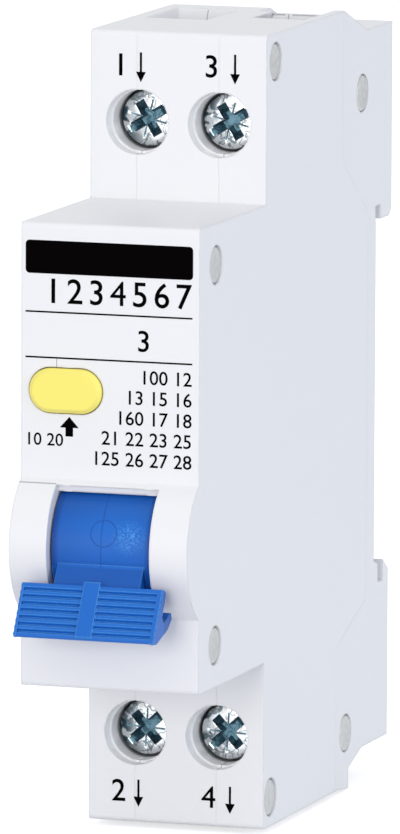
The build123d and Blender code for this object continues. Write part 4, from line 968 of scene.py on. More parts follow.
class Finishes:
    """Every finish of the object, each made once."""

    # Its edge colour is a painted highlight along the housing's edges.
    WHITE = ShellFinish(
        "white housing plastic", (0.845, 0.848, 0.862), (0.97, 0.972, 0.98), (0.81, 0.815, 0.835),
        roughness=0.38, grain_scale=2600.0, grain_height=0.0000022, edge_radius=0.0003, edge_wear_and_highlight=0.85,
        patch_scale=45.0)
    # Its edge colour is a painted highlight on the rib crests and edges.
    BLUE = HandleFinish(
        "blue handle plastic", (0.01, 0.145, 0.58), (0.11, 0.43, 0.91), (0.004, 0.09, 0.43),
        grain_scale=1700.0, grain_height=0.000005, edge_radius=0.00018, edge_wear_and_highlight=0.9, patch_scale=240.0,
        specular=0.28)
    YELLOW = Finish(
        "yellow button plastic", (0.95, 0.84, 0.17), (0.97, 0.92, 0.4), (0.92, 0.78, 0.11), roughness=0.36,
        grain_scale=2200.0, edge_radius=0.0003, edge_wear_and_highlight=0.4, patch_scale=160.0)
    INK = Finish(
        "black printing ink", (0.001, 0.0006, 0.0008), (0.003, 0.002, 0.002), (0.002, 0.001, 0.001),
        roughness=0.85, grain_scale=5000.0, grain_height=0.0000015, edge_radius=0.00001, patch_scale=400.0,
        specular=0.02)
    ZINC = StretchedFinish(
        "zinc plated steel", (0.78, 0.82, 0.84), (0.92, 0.94, 0.95), (0.5, 0.6, 0.66), roughness=0.2,
        metallic=1.0, roughness_spread=0.12, grain_scale=2500.0, grain_height=0.000008, edge_radius=0.00008,
        edge_wear_and_highlight=0.6, patch_scale=900.0, patch_amount=0.5, stretch=(1500.0, 1500.0, 6000.0),
        line_height=0.000006)
    # The heads get a painted dark reflection on their left side.
    HEAD = VeinedFinish(
        "bright plated head", (0.86, 0.88, 0.89), (1.0, 1.0, 1.0), (0.1, 0.15, 0.17), roughness=0.22,
        metallic=1.0, roughness_spread=0.1, grain_scale=2500.0, grain_height=0.000006, edge_radius=0.00008,
        edge_wear_and_highlight=0.8, patch_scale=700.0, patch_amount=0.25, vein_scale=1000.0, vein_half=0.024, dark_reflection=0.9)
    RECESS = VeinedFinish(
        "blue passivated recess", (0.2, 0.37, 0.46), (0.62, 0.78, 0.84), (0.02, 0.07, 0.1), roughness=0.36,
        metallic=0.7, roughness_spread=0.15, grain_scale=3500.0, grain_height=0.00002, edge_radius=0.00006,
        edge_wear_and_highlight=0.8, patch_scale=2200.0, patch_amount=0.9, vein_scale=1500.0, vein_half=0.04)
    RIVET = Finish(
        "rivet steel", (0.6, 0.61, 0.61), (0.85, 0.86, 0.86), (0.3, 0.31, 0.31), roughness=0.45, metallic=1.0,
        roughness_spread=0.15, grain_scale=3600.0, grain_height=0.000025, edge_radius=0.00012, edge_wear_and_highlight=0.8,
        patch_scale=1600.0, patch_amount=0.75)
    PIN = StretchedFinish(
        "drawn steel", (0.6, 0.6, 0.61), (0.8, 0.8, 0.8), (0.45, 0.45, 0.46), roughness=0.24, metallic=1.0,
        edge_radius=0.00008, stretch=(300.0, 5000.0, 5000.0))
    SPRING = Finish(
        "spring steel", (0.5, 0.5, 0.52), (0.7, 0.7, 0.7), (0.32, 0.32, 0.34), roughness=0.28, metallic=1.0,
        grain_scale=4000.0, grain_height=0.000004, edge_radius=0.00003, patch_scale=700.0, patch_amount=0.5)
    WOUND = RingedFinish(
        "closely wound spring", (0.5, 0.5, 0.52), (0.7, 0.7, 0.7), (0.2, 0.2, 0.22), roughness=0.3,
        metallic=1.0, edge_radius=0.00005, direction="Z", ridge_scale=1500.0, ridge_height=0.00006)
    IRON = StretchedFinish(
        "pressed iron", (0.46, 0.46, 0.47), (0.7, 0.7, 0.7), (0.34, 0.33, 0.33), roughness=0.42, metallic=1.0,
        edge_radius=0.0001, edge_wear_and_highlight=0.6, patch_scale=300.0, patch_amount=0.5,
        stretch=(400.0, 4000.0, 4000.0))
    COPPER = StretchedFinish(
        "rolled copper", (0.76, 0.36, 0.2), (0.9, 0.56, 0.38), (0.5, 0.22, 0.13), roughness=0.3, metallic=1.0,
        edge_radius=0.0001, edge_wear_and_highlight=0.6, patch_scale=220.0, patch_amount=0.5,
        stretch=(4000.0, 4000.0, 300.0))
    BRAID = RingedFinish(
        "copper braid", (0.7, 0.36, 0.22), (0.88, 0.55, 0.38), (0.3, 0.12, 0.07), metallic=1.0,
        edge_radius=0.00005, direction="DIAGONAL", ridge_scale=1400.0, ridge_height=0.00004)
    ENAMEL = RingedFinish(
        "enamelled winding", (0.45, 0.13, 0.05), (0.6, 0.25, 0.12), (0.16, 0.04, 0.02), roughness=0.25,
        metallic=0.6, edge_radius=0.00003, ridge_scale=1500.0, ridge_height=0.00006, coat=0.4)
    STRIP = RingedFinish(
        "wound strip core", (0.5, 0.5, 0.5), (0.7, 0.7, 0.7), (0.2, 0.2, 0.2), roughness=0.35, metallic=1.0,
        edge_radius=0.00005, direction="Z", ridge_scale=1300.0, ridge_height=0.00003)
    DARK = Finish(
        "dark moulded plastic", (0.02, 0.02, 0.023), (0.07, 0.07, 0.075), (0.012, 0.012, 0.014),
        roughness=0.5, grain_scale=2400.0, grain_height=0.000005, edge_wear_and_highlight=0.5, patch_scale=200.0)
    CARD = StretchedFinish(
        "pressed insulating card", (0.6, 0.48, 0.3), (0.72, 0.62, 0.46), (0.5, 0.38, 0.22), roughness=0.8,
        edge_radius=0.00008, patch_scale=500.0, patch_amount=0.6, stretch=(900.0, 2500.0, 900.0),
        line_height=0.00001)
    BOARD = Finish(
        "green circuit board", (0.012, 0.16, 0.06), (0.25, 0.35, 0.15), (0.02, 0.24, 0.09), roughness=0.3,
        grain_scale=1500.0, grain_height=0.000006, edge_radius=0.00008, edge_wear_and_highlight=0.5, patch_scale=700.0,
        patch_amount=0.7, coat=0.3)
    CAN = StretchedFinish(
        "capacitor sleeve", (0.02, 0.03, 0.1), (0.1, 0.12, 0.25), (0.012, 0.02, 0.06), roughness=0.3,
        edge_radius=0.00015, patch_scale=300.0, stretch=(300.0, 3000.0, 3000.0), coat=0.3)
    DISC = Finish(
        "blue surge disc", (0.02, 0.08, 0.32), (0.1, 0.2, 0.5), (0.012, 0.05, 0.22), roughness=0.3,
        edge_radius=0.0004, grain_scale=900.0, grain_height=0.00001, patch_scale=500.0, coat=0.5)
    CHIP = Finish(
        "chip resin", (0.012, 0.012, 0.012), (0.05, 0.05, 0.05), (0.02, 0.02, 0.02), roughness=0.55,
        edge_radius=0.00006, grain_scale=6000.0, grain_height=0.000004)
    RESISTOR = RingedFinish(
        "resistor lacquer", (0.5, 0.32, 0.16), (0.65, 0.5, 0.3), (0.25, 0.05, 0.03), roughness=0.35,
        direction="Z", ridge_scale=160.0, ridge_height=0.000005, coat=0.3)

    def __init__(self) -> None:
        """Builds the shared group and starts with no materials."""
        self.group = surface_group()
        self.made: dict[str, bpy.types.Material] = {}

    def get(self, finish: Finish) -> bpy.types.Material:
        """Material of a finish, made at its first use.

        Args:
            finish: the finish.

        Returns:
            Its material.
        """
        if finish.name not in self.made:
            self.made[finish.name] = finish.make(self.group)
        return self.made[finish.name]

    def dress(self, finish: Finish, *nodes: str) -> None:
        """Gives solids of the frame a finish.

        Args:
            finish: the finish.
            nodes: names of the solids.
        """
        for node in nodes:
            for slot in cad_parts[node].material_slots:
                slot.material = self.get(finish)
            LOG.info("%s dressed in %s", node, finish.name)


# Sub-assemblies


@dataclass
class Housing:
    """Three mouldings of the housing, their rivets and the rail clip; lengths in millimetres."""

    shells: tuple[str, ...] = ("left_shell", "middle_frame", "right_shell", "rail_clip")
    # Depth and height of each axis
    rivet_places: tuple[Point, ...] = (
        (-32.9, 36.2), (-4.7, 30.15), (-51.0, 18.5), (-50.9, -18.4), (-9.1, -33.7), (-33.5, -36.1))
    head_radius: float = 1.8
    head_thick: float = 0.5
    shank_radius: float = 1.0
    # Share of the radius, and depth, of each point of a head's dish
    dish: tuple[Point, ...] = ((0.0, 0.1), (0.5, 0.08), (0.72, 0.02))
    # Width and height of its rounded edge
    rounding: Point = (0.15, 0.12)

    def rivet(self, y: float, z: float) -> Mesh:
        """One rivet with dished, round-edged heads.

        Args:
            y: its depth in millimetres.
            z: its height in millimetres.

        Returns:
            The mesh.
        """
        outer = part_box("housing_rivets")[1][0] / MM
        seat = outer - self.head_thick
        inward, drop = self.rounding
        head = [(self.head_radius * share, outer - depth) for share, depth in self.dish]
        head += [
            (self.head_radius - inward, outer), (self.head_radius, outer - drop), (self.head_radius, seat),
            (self.shank_radius, seat)]
        profile = head + [(radius, -along) for radius, along in reversed(head)]
        return turned(profile, Way.ACROSS, (0.0, y, z), steps=40)

    def build(self, finishes: Finishes) -> None:
        """Dresses the mouldings and puts the rivets in.

        Args:
            finishes: the object's finishes.
        """
        finishes.dress(Finishes.WHITE, *self.shells)
        rivets = merge([self.rivet(y, z) for y, z in self.rivet_places])
        made = piece("rivets", rivets, "housing", [finishes.get(Finishes.RIVET)])
        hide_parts("housing_rivets")


@dataclass
class Markings:
    """Printed band, lines, arrows and plain numbers on the front faces; lengths in millimetres."""

    ink: float = 0.02
    # How much bolder than its font the type is, as a share of its size; less where a 4 would close up
    weight: float = 0.006
    weight_of_4: float = 0.001
    nose_front: float = -56.0
    terminal_face: float = -35.8
    # Left and right side, foot and top
    band: tuple[float, float, float, float] = (-8.55, 8.35, 17.6, 20.8)
    band_corner: float = 0.4
    line_heights: Point = (13.9, 9.5)
    line_half: float = 0.08
    right_edge: float = 8.3
    first_foot: float = 7.35
    row_pitch: float = 2.0
    row_size: float = 1.9
    rows: tuple[str, ...] = ("100 12", "13 15 16", "160 17 18", "21 22 23 25", "125 26 27 28")
    scale_row: str = "1234567"
    scale_left: float = -6.85
    scale_right: float = 8.5
    scale_foot: float = 14.8
    scale_size: float = 3.4
    # Numbers, then their place across, foot and size
    between_lines: tuple[str, float, float, float] = ("3", 3.4, 10.5, 2.9)
    by_handle: tuple[str, float, float, float] = ("10 20", -8.6, 1.0, 1.72)
    # Middle, tail and tip, then width and length of the head and half the width of the shaft
    handle_arrow: tuple[float, ...] = (-4.1, 1.95, 3.85, 1.9, 1.05, 0.38)
    # Number, its middle and foot, the arrow's middle, and how far its ends lie above and below the foot
    marks: tuple[tuple[str, float, float, float, float, float], ...] = (
        ("1", -5.9, 34.6, -3.83, 2.3, 0.6), ("3", 3.4, 34.75, 5.8, 2.3, 0.6),
        ("2", -5.9, -36.95, -3.85, 2.2, 0.5), ("4", 3.4, -37.1, 5.6, 2.2, 0.5))
    mark_size: float = 3.1
    # Width and length of these arrows' heads and half the width of their shafts
    mark_arrow: Spot = (1.0, 1.0, 0.11)
    pieces: list[Mesh] = field(default_factory=list)

    def bar(self, x0: float, x1: float, z0: float, z1: float, face: float, corner: float = 0.0) -> None:
        """Prints a rectangle.

        Args:
            x0: left side in millimetres.
            x1: right side in millimetres.
            z0: foot in millimetres.
            z1: top in millimetres.
            face: depth of the face that it lies on.
            corner: radius of its corners.
        """
        outline = ((x0, z0), (x1, z0), (x1, z1), (x0, z1))
        self.pieces.append(slab(outline, face - self.ink, self.ink, corner))

    def arrow(
        self, x: float, tail: float, tip: float, width: float, head: float, shaft: float, face: float,
    ) -> None:
        """Prints an arrow that points up or down.

        Args:
            x: its middle in millimetres.
            tail: height of its blunt end.
            tip: height of its point.
            width: width of its head.
            head: length of its head.
            shaft: half the width of its shaft.
            face: depth of the face that it lies on.
        """
        way = 1.0 if tip > tail else -1.0
        neck = tip - way * head
        self.bar(x - shaft, x + shaft, min(tail, neck), max(tail, neck), face)
        corners = [(x - width / 2, neck), (x + width / 2, neck), (x, tip)]
        if way < 0:
            corners.reverse()
        self.pieces.append(slab(corners, face - self.ink, self.ink))

    def text(self, words: str, x: float, foot: float, size: float, face: float, align: str = "LEFT") -> None:
        """Prints plain numbers.

        Args:
            words: the numbers.
            x: where the row starts, ends or has its middle, in millimetres.
            foot: height of its foot, in millimetres.
            size: size of the type, in millimetres.
            face: depth of the face that it lies on.
            align: which part of the row is at x.
        """
        curve = bpy.data.curves.new("type", "FONT")
        curve.body = words
        curve.size = size
        curve.extrude = self.ink / 2
        curve.offset = size * (self.weight_of_4 if "4" in words else self.weight)
        curve.align_x = align
        curve.resolution_u = 4
        mesh = meshed(curve)
        stand = Matrix.Rotation(math.pi / 2, 4, "X")
        there = Matrix.Translation(Vector((x, face - self.ink / 2, foot)) * MM) @ Matrix.Scale(MM, 4) @ stand
        bmesh.ops.transform(mesh, matrix=there, verts=mesh.verts)
        bmesh.ops.remove_doubles(mesh, verts=mesh.verts, dist=WELD)
        self.pieces.append(mesh)

    def build(self, finishes: Finishes) -> None:
        """Prints everything.

        Args:
            finishes: the object's finishes.
        """
        ink = [finishes.get(Finishes.INK)]
        left = self.band[0]
        self.bar(*self.band, self.nose_front, corner=self.band_corner)
        piece("printed_band", self.pieces.pop(), "housing", ink)
        for height in self.line_heights:
            self.bar(left, self.right_edge, height - self.line_half, height + self.line_half, self.nose_front)
        pitch = (self.scale_right - self.scale_left) / len(self.scale_row)
        for index, digit in enumerate(self.scale_row):
            middle = self.scale_left + pitch * (index + 0.5)
            self.text(digit, middle, self.scale_foot, self.scale_size, self.nose_front, "CENTER")
        self.text(*self.between_lines, self.nose_front, "CENTER")
        for index, words in enumerate(self.rows):
            foot = self.first_foot - index * self.row_pitch
            self.text(words, self.right_edge, foot, self.row_size, self.nose_front, "RIGHT")
        self.text(*self.by_handle, self.nose_front)
        self.arrow(*self.handle_arrow, self.nose_front)
        piece("printed_numbers", merge(self.pieces), "housing", ink)
        self.pieces = []
        for words, x, foot, arrow_x, above, below in self.marks:
            self.text(words, x, foot, self.mark_size, self.terminal_face, "CENTER")
            self.arrow(arrow_x, foot + above, foot - below, *self.mark_arrow, self.terminal_face)
        piece("terminal_marks", merge(self.pieces), "housing", ink)


@dataclass
class Terminal:
    """One terminal's screw and cage; lengths in millimetres, angles in degrees."""

    pole: Pole
    level: Level
    recess_turn: float
    head_radius: float = 2.85
    head_front: float = -32.3
    seat: float = -30.3
    # Distance in from the side, and behind the face, of each point of the rounded front
    dome: tuple[Point, ...] = ((0.42, 0.0), (0.16, 0.1), (0.0, 0.4))
    # Width and height of the rounded edge below
    seat_edge: Point = (0.12, 0.15)
    # Turn in degrees, half width, half length and depth of each bar cut out: cross, slot and marks
    cuts: tuple[tuple[float, float, float, float], ...] = (
        (0.0, 0.52, 1.95, 1.3), (90.0, 0.52, 1.95, 1.3), (0.0, 0.34, 2.35, 0.55), (45.0, 0.09, 2.3, 0.16),
        (135.0, 0.09, 2.3, 0.16))
    overshoot: float = 0.1
    # Share of a bar's length and width left at its bottom
    taper: Point = (0.55, 0.7)
    recess_radius: float = 2.25
    # How far behind the face, and ahead of the seat, the recess has its own finish
    recess_depths: Point = (0.02, 0.2)
    root_radius: float = 1.65
    crest_radius: float = 1.98
    root_sunk: float = 0.05
    thread_start: float = 0.4
    pitch: float = 0.7
    # Shares of the pitch at which the crest begins and ends
    crest: Point = (0.45, 0.55)
    # How much the shank narrows at its end, and over what length
    tip: Point = (0.35, 0.5)

    def name(self) -> str:
        """Common start of its nodes' names."""
        return f"{self.level.name}_{self.pole.name}".lower()

    def centre(self) -> Point:
        """Middle of its screw, from the frame, as x and z in millimetres."""
        low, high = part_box(self.name() + "_screw")
        return (low[0] + high[0]) / 2 / MM, (low[2] + high[2]) / 2 / MM

    def arm(self, turn: float, half: float, length: float, depth: float) -> Mesh:
        """Tapered bar that cuts two opposite arms of the recess.

        Args:
            turn: its angle in degrees.
            half: half its width at the head's face, in millimetres.
            length: half its length at the head's face.
            depth: how deep it goes.

        Returns:
            The mesh.
        """
        mesh = bmesh.new()
        bmesh.ops.create_cube(mesh, size=2.0)
        for corner in mesh.verts:
            x, y, z = corner.co
            shrink, narrow = self.taper if y > 0 else (1.0, 1.0)
            behind = depth if y > 0 else -self.overshoot
            corner.co = Vector((x * length * shrink, self.head_front + behind, z * half * narrow))
        swivel(mesh, turn)
        bmesh.ops.scale(mesh, verts=mesh.verts, vec=(MM, MM, MM))
        return mesh

    def head(self) -> Mesh:
        """Head with its cross recess, its slot and four marks between the arms.

        Returns:
            The mesh, with material index 1 in the recess.
        """
        front, seat, radius = self.head_front, self.seat, self.head_radius
        inward, rise = self.seat_edge
        profile = [
            (0.0, front), *((radius - side, front + behind) for side, behind in self.dome),
            (radius, seat - rise), (radius - inward, seat), (self.root_radius, seat), (0.0, seat)]
        mesh = turned(profile, Way.DEEP, ORIGIN, steps=72)
        for cut in self.cuts:
            mesh = carve(mesh, self.arm(*cut))
        low, high = front + self.recess_depths[0], seat - self.recess_depths[1]
        for face in mesh.faces:
            x, y, z = face.calc_center_median() / MM
            face.material_index = int(low < y < high and math.hypot(x, z) < self.recess_radius)
        return mesh

    def thread(self) -> Mesh:
        """Shank with a helical thread round its core.

        Returns:
            The mesh.
        """
        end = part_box(self.name() + "_screw")[1][1] / MM
        inward, length = self.tip
        root, foot, crest = self.root_radius, self.root_radius - self.root_sunk, self.crest_radius
        core = turned(
            ((0.0, self.seat), (root, self.seat), (root, end - length), (root - inward, end), (0.0, end)),
            Way.DEEP, ORIGIN, steps=32)
        low, high = (self.pitch * share for share in self.crest)
        profile = ((foot, 0.0), (crest, low), (crest, high), (foot, self.pitch))
        ridge = bmesh.new()
        drawn = section(ridge, profile, Way.DEEP, (0.0, self.seat + self.thread_start, 0.0), closed=True)
        turns = int((end - length - self.seat - self.thread_start) / self.pitch) - 1
        return merge([core, wind(ridge, drawn, Way.DEEP, ORIGIN, self.pitch * turns, turns)])

    def build(self, finishes: Finishes) -> None:
        """Makes the screw and dresses the cage.

        Args:
            finishes: the object's finishes.
        """
        mesh = merge([self.head(), self.thread()])
        swivel(mesh, self.recess_turn)
        x, z = self.centre()
        bmesh.ops.translate(mesh, verts=mesh.verts, vec=Vector((x, 0, z)) * MM)
        body = self.name() + "_screw"
        made = piece(
            self.name() + "_terminal_screw", mesh, body,
            [finishes.get(Finishes.HEAD), finishes.get(Finishes.RECESS)])
        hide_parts(body)
        finishes.dress(Finishes.ZINC, self.name() + "_cage")


@dataclass
class Press:
    """Figures for how a spring shortens with a joint; nothing here reads them.

    Attributes:
        joint: the joint that presses it.
        fixed_end: place of its fixed end along its axis, in millimetres.
        keep: share of its length left at the joint's limit.
    """

    joint: str
    fixed_end: float
    keep: float


@dataclass
class Spring:
    """A wire spring that stands in for a plain solid of the frame.

    Attributes:
        node: the solid that it replaces.
        way: direction of its axis.
        wire: radius of its wire, in millimetres.
        turns: number of turns.
        press: figures for its shortening, if it has any; a spring with them only gets a mesh of its own.
    """

    node: str
    way: Way
    wire: float
    turns: float
    press: Press | None = None

    def build(self, finishes: Finishes) -> None:
        """Winds the wire inside the solid's own box.

        Args:
            finishes: the object's finishes.
        """
        low, high = (Vector(corner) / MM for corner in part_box(self.node))
        axis = Vector(self.way.value)
        middle, size = (low + high) / 2, high - low
        length = size.dot(axis)
        radius = (sum(size) - length) / 4 - self.wire
        start = middle - axis * (length / 2 - self.wire)
        mesh = coil(self.way, tuple(start), radius, self.wire, length - 2 * self.wire, self.turns)
        steel = [finishes.get(Finishes.SPRING)]
        made = piece("wound_" + self.node, mesh, "housing", steel, smooth=60.0)
        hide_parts(self.node)
        if self.press:
            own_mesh(made)


@dataclass
class Controls:
    """Handle, test button and what turns or presses them.

    Attributes:
        plate_top: depth and height of the upper edge of the handle's ribbed face, in millimetres.
        plate_bottom: the same for its lower edge.
        borders: sides of the plain borders that close the ribs' ends, in millimetres.
        border_proud: how far they stand in front of the ribs.
        border_depth: how far they reach behind the ribs' crests.
        border_gap: how far they keep from the face's upper and lower edges.
        border_edge: width of their bevels.
        springs: springs round the pin, behind the button, in the clip and on the contact carrier.
    """

    plate_top: Point = (-61.0, -11.5)
    plate_bottom: Point = (-63.8, -16.45)
    borders: tuple[Point, ...] = ((-7.09, -6.8), (6.62, 7.09))
    border_proud: float = 0.03
    border_depth: float = 0.45
    border_gap: float = 0.08
    border_edge: float = 0.1
    springs: tuple[Spring, ...] = (
        Spring("handle_spring", Way.ACROSS, 0.22, 2.5),
        Spring("button_spring", Way.DEEP, 0.24, 7.0, Press("test_button_slide", -49.0, 0.733)),
        Spring("clip_spring", Way.UPRIGHT, 0.17, 8.0, Press("rail_clip_slide", -25.6, 0.483)),
        Spring("opening_spring", Way.UPRIGHT, 0.28, 14.0, Press("carrier_hinge", -20.9, 0.87)),
    )

    def rib_ends(self) -> Mesh:
        """Rounded borders down both sides of the ribbed face.

        Returns:
            The mesh.
        """
        top, bottom = Vector(self.plate_top), Vector(self.plate_bottom)
        down = (bottom - top).normalized()
        out = Vector((down.y, -down.x))
        plate = Matrix((
            (1, 0, 0, 0), (0, out.x, down.x, top.x * MM), (0, out.y, down.y, top.y * MM), (0, 0, 0, 1)))
        end = (bottom - top).length - self.border_gap
        strips = []
        for low, high in self.borders:
            near, far = (low, -self.border_depth, self.border_gap), (high, self.border_proud, end)
            strip = bar(near, far, edge=self.border_edge)
            bmesh.ops.transform(strip, matrix=plate, verts=strip.verts)
            strips.append(strip)
        return merge(strips)

    def build(self, finishes: Finishes) -> None:
        """Dresses the handle, the button and the pins, and winds the springs.

        Args:
            finishes: the object's finishes.
        """
        finishes.dress(Finishes.BLUE, "handle")
        piece("handle_rib_ends", self.rib_ends(), "handle", [finishes.get(Finishes.BLUE)])
        finishes.dress(Finishes.YELLOW, "test_button")
        finishes.dress(Finishes.PIN, "handle_pin", "carrier_pin", "trip_pin", "link_rod")
        finishes.dress(Finishes.SPRING, "test_leaf")
        finishes.dress(Finishes.WOUND, "contact_springs")
        for spring in self.springs:
            spring.build(finishes)


@dataclass
class Braid:
    """A flexible copper lead between the contact carrier and a fixed conductor.

    Attributes:
        node: the solid that it replaces.
        route: points that it bends towards, from the carrier on, in millimetres.
        radius: its radius, in millimetres.
    """

    node: str
    route: tuple[Spot, ...]
    radius: float = 0.45

    def build(self, finishes: Finishes) -> None:
        """Lays the lead.

        Args:
            finishes: the object's finishes.
        """
        lead = hose(self.route, self.radius)
        braid = [finishes.get(Finishes.BRAID)]
        made = piece("flexible_" + self.node, lead, None, braid, smooth=60.0)
        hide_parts(self.node)
        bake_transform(made)


@dataclass
class Winding:
    """Heavy winding of the short-circuit magnet with its two leads; lengths in millimetres."""

    node: str = "trip_coil"
    bobbin: str = "trip_bobbin"
    flange: float = 0.6
    wire: float = 0.43
    turns: float = 11.0
    mean_radius: float = 2.3
    lead: float = 1.1

    def build(self, finishes: Finishes) -> None:
        """Winds the coil between the spool's flanges and adds the leads.

        Args:
            finishes: the object's finishes.
        """
        low, high = (Vector(corner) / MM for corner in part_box(self.bobbin))
        x, z = (low.x + high.x) / 2, (low.z + high.z) / 2
        front, rear = low.y + self.flange, high.y - self.flange
        foot, top = (corner[2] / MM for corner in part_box(self.node))
        start = (x, front + self.wire, z)
        wound = coil(Way.DEEP, start, self.mean_radius, self.wire, rear - front - 2 * self.wire, self.turns)
        half, reach = self.lead / 2, self.mean_radius - self.wire
        upper = bar((x - half, rear - self.lead, z + reach), (x + half, rear, top))
        lower = bar((x - half, front, foot), (x + half, front + self.lead, z - reach))
        whole = merge([wound, upper, lower])
        copper = [finishes.get(Finishes.COPPER)]
        made = piece("wound_" + self.node, whole, "housing", copper, smooth=50.0)
        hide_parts(self.node)


@dataclass
class Innards:
    """Switching parts, magnets, conductors, arc chute and residual current parts.

    Attributes:
        dressed: solids that keep their shape, by their finish.
        braids: the two flexible leads.
    """

    dressed: tuple[tuple[Finish, tuple[str, ...]], ...] = (
        (Finishes.DARK, ("contact_carrier", "trip_bar", "trip_bobbin", "residual_bobbin", "sensor_case")),
        (Finishes.IRON, (
            "trip_yoke", "residual_yoke", "trip_core", "residual_core", "trip_plunger", "residual_plunger",
            "arc_plates", "bimetal_heel", "bimetal_strip")),
        (Finishes.COPPER, (
            "line_in_strap", "neutral_in_strap", "line_fixed_contact", "line_out_strap", "neutral_out_strap",
            "line_moving_contact", "neutral_moving_contact", "line_wire", "neutral_wire")),
        (Finishes.ENAMEL, ("residual_coil",)),
        (Finishes.STRIP, ("sensor_core",)),
        (Finishes.CARD, ("arc_card_outer", "arc_card_inner")),
        (Finishes.BOARD, ("circuit_board",)),
        (Finishes.CAN, ("board_capacitor",)),
        (Finishes.DISC, ("board_varistor",)),
        (Finishes.CHIP, ("board_chip",)),
        (Finishes.RESISTOR, ("test_resistor",)),
    )
    braids: tuple[Braid, ...] = (
        Braid("line_braid", (
            (-4.25, -28.77, -3.42), (-4.25, -30.0, -7.6), (-4.25, -30.7, -9.6), (-4.25, -32.2, -9.6))),
        Braid("neutral_braid", (
            (3.4, -28.77, -3.42), (3.4, -29.5, -5.7), (1.4, -27.0, -6.8), (1.4, -24.3, -6.8),
            (1.4, -24.3, -9.4))),
    )

    def build(self, finishes: Finishes) -> None:
        """Dresses every inner solid and adds the winding and the braids.

        Args:
            finishes: the object's finishes.
        """
        for finish, nodes in self.dressed:
            finishes.dress(finish, *nodes)
        Winding().build(finishes)
        for braid in self.braids:
            braid.build(finishes)


@dataclass(frozen=True)
class Lamp:
    """A square soft light that looks at the object.

    Attributes:
        name: its name.
        stand: where it stands, in metres.
        size: length of its side, in metres.
        watts: its power.
        colour: its colour.
    """

    name: str
    stand: Spot
    size: float
    watts: float
    colour: Colour

    def build(self, target: Vector) -> None:
        """Adds the light.

        Args:
            target: what it looks at, in metres.
        """
        data = bpy.data.lights.new(self.name, "AREA")
        data.size = self.size
        data.energy = self.watts
        data.color = self.colour
        lamp = shown(self.name, data)
        lamp.location = self.stand
        lamp.rotation_euler = (Vector(self.stand) - target).to_track_quat("Z", "Y").to_euler()


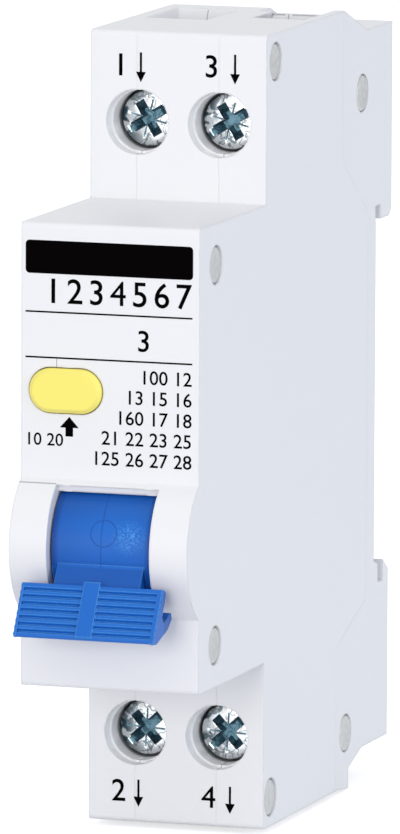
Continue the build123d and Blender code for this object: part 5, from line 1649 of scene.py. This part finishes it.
@dataclass
class Studio:
    """Camera, lights, floor and background; angles in degrees, lengths but the sensor's in metres."""

    azimuth: float = 18.45
    elevation: float = 8.113
    roll: float = 0.2276
    distance: float = 1.07872
    target: Spot = (0.000756, -0.031, 0.00073)
    focal_pixels: float = 11026.93
    frame_pixels: float = 834.0
    sensor: float = 36.0
    floor_gap: float = 0.0002
    floor_colour: Colour = (0.74, 0.75, 0.77)
    floor_glow: float = 0.62
    sky: Colour = (0.925, 0.945, 1.0)
    sky_strength: float = 0.715
    lamps: tuple[Lamp, ...] = (
        Lamp("key light", (0.0, -1.05, 0.15), 0.34, 3.0, (1.0, 0.95, 0.9)),
        Lamp("top light", (0.1, -0.35, 1.0), 0.7, 1.1, (1.0, 0.98, 0.96)),
        Lamp("fill light", (0.95, -0.45, 0.05), 0.7, 3.5, (0.81, 0.9, 1.0)),
    )

    def camera(self) -> None:
        """Places the camera where the photograph was taken from."""
        angles = (self.azimuth, self.elevation, self.roll)
        azimuth, elevation, roll = (math.radians(angle) for angle in angles)
        back = Vector((
            math.sin(azimuth) * math.cos(elevation), -math.cos(azimuth) * math.cos(elevation),
            math.sin(elevation)))
        right = Vector((math.cos(azimuth), math.sin(azimuth), 0.0))
        up = back.cross(right)
        side = right * math.cos(roll) + up * math.sin(roll)
        top = up * math.cos(roll) - right * math.sin(roll)
        data = bpy.data.cameras.new("camera")
        data.sensor_width = self.sensor
        data.lens = self.focal_pixels / self.frame_pixels * self.sensor
        data.clip_start = 0.05
        camera = shown("camera", data)
        turn = Matrix((side, top, back)).transposed().to_4x4()
        camera.matrix_world = Matrix.Translation(Vector(self.target) + back * self.distance) @ turn
        bpy.context.scene.camera = camera

    def seen(self, graph: Graph) -> Socket:
        """Value that is 1 for camera, glossy and transmission rays."""
        rays = graph.add("LightPath").outputs
        return graph.largest(*(rays[f"Is {kind} Ray"] for kind in ("Camera", "Glossy", "Transmission")))

    def world(self) -> None:
        """Even soft light from all round, with a white background."""
        world = bpy.data.worlds.new("studio")
        bpy.context.scene.world = world
        graph = emptied(world)
        lit = graph.add("Background", {"Color": (*self.sky, 1.0), "Strength": self.sky_strength})
        white = graph.add("Background", {"Color": (1.0, 1.0, 1.0, 1.0), "Strength": 1.0})
        mix = graph.add("MixShader", {0: self.seen(graph), 1: lit.outputs[0], 2: white.outputs[0]})
        graph.add("OutputWorld", {"Surface": mix.outputs[0]})

    def floor(self) -> None:
        """Pale floor just under the object, white to the camera outside the object's shadow."""
        mesh = bmesh.new()
        bmesh.ops.create_grid(mesh, x_segments=8, y_segments=8, size=3.0)
        bmesh.ops.translate(mesh, verts=mesh.verts, vec=(0.0, 0.0, CAD_LOW[2] - self.floor_gap))
        data = stored("floor", mesh)
        floor = shown("floor", data)
        material = bpy.data.materials.new("pale floor")
        graph = emptied(material)
        diffuse = graph.add("BsdfDiffuse", {"Color": (*self.floor_colour, 1.0)})
        strength = graph.times(self.seen(graph), self.floor_glow)
        glow = graph.add("Emission", {"Color": (1.0, 1.0, 1.0, 1.0), "Strength": strength})
        both = graph.add("AddShader", {0: diffuse.outputs[0], 1: glow.outputs[0]})
        graph.add("OutputMaterial", {"Surface": both.outputs[0]})
        data.materials.append(material)

    def build(self) -> None:
        """Sets the studio up."""
        self.world()
        self.floor()
        self.camera()
        for lamp in self.lamps:
            lamp.build(Vector(self.target))
        bpy.context.scene.view_settings.view_transform = "Standard"


def main() -> None:
    """Builds the object's looks in order, then the studio."""
    logging.basicConfig(level=logging.INFO, format="%(name)s: %(message)s")
    finishes = Finishes()
    Housing().build(finishes)
    Markings().build(finishes)
    Controls().build(finishes)
    Innards().build(finishes)
    for level, turn in RECESS_TURNS.items():
        for pole in Pole:
            Terminal(pole, level, turn).build(finishes)
    Studio().build()


if __name__ == "__main__":
    main()
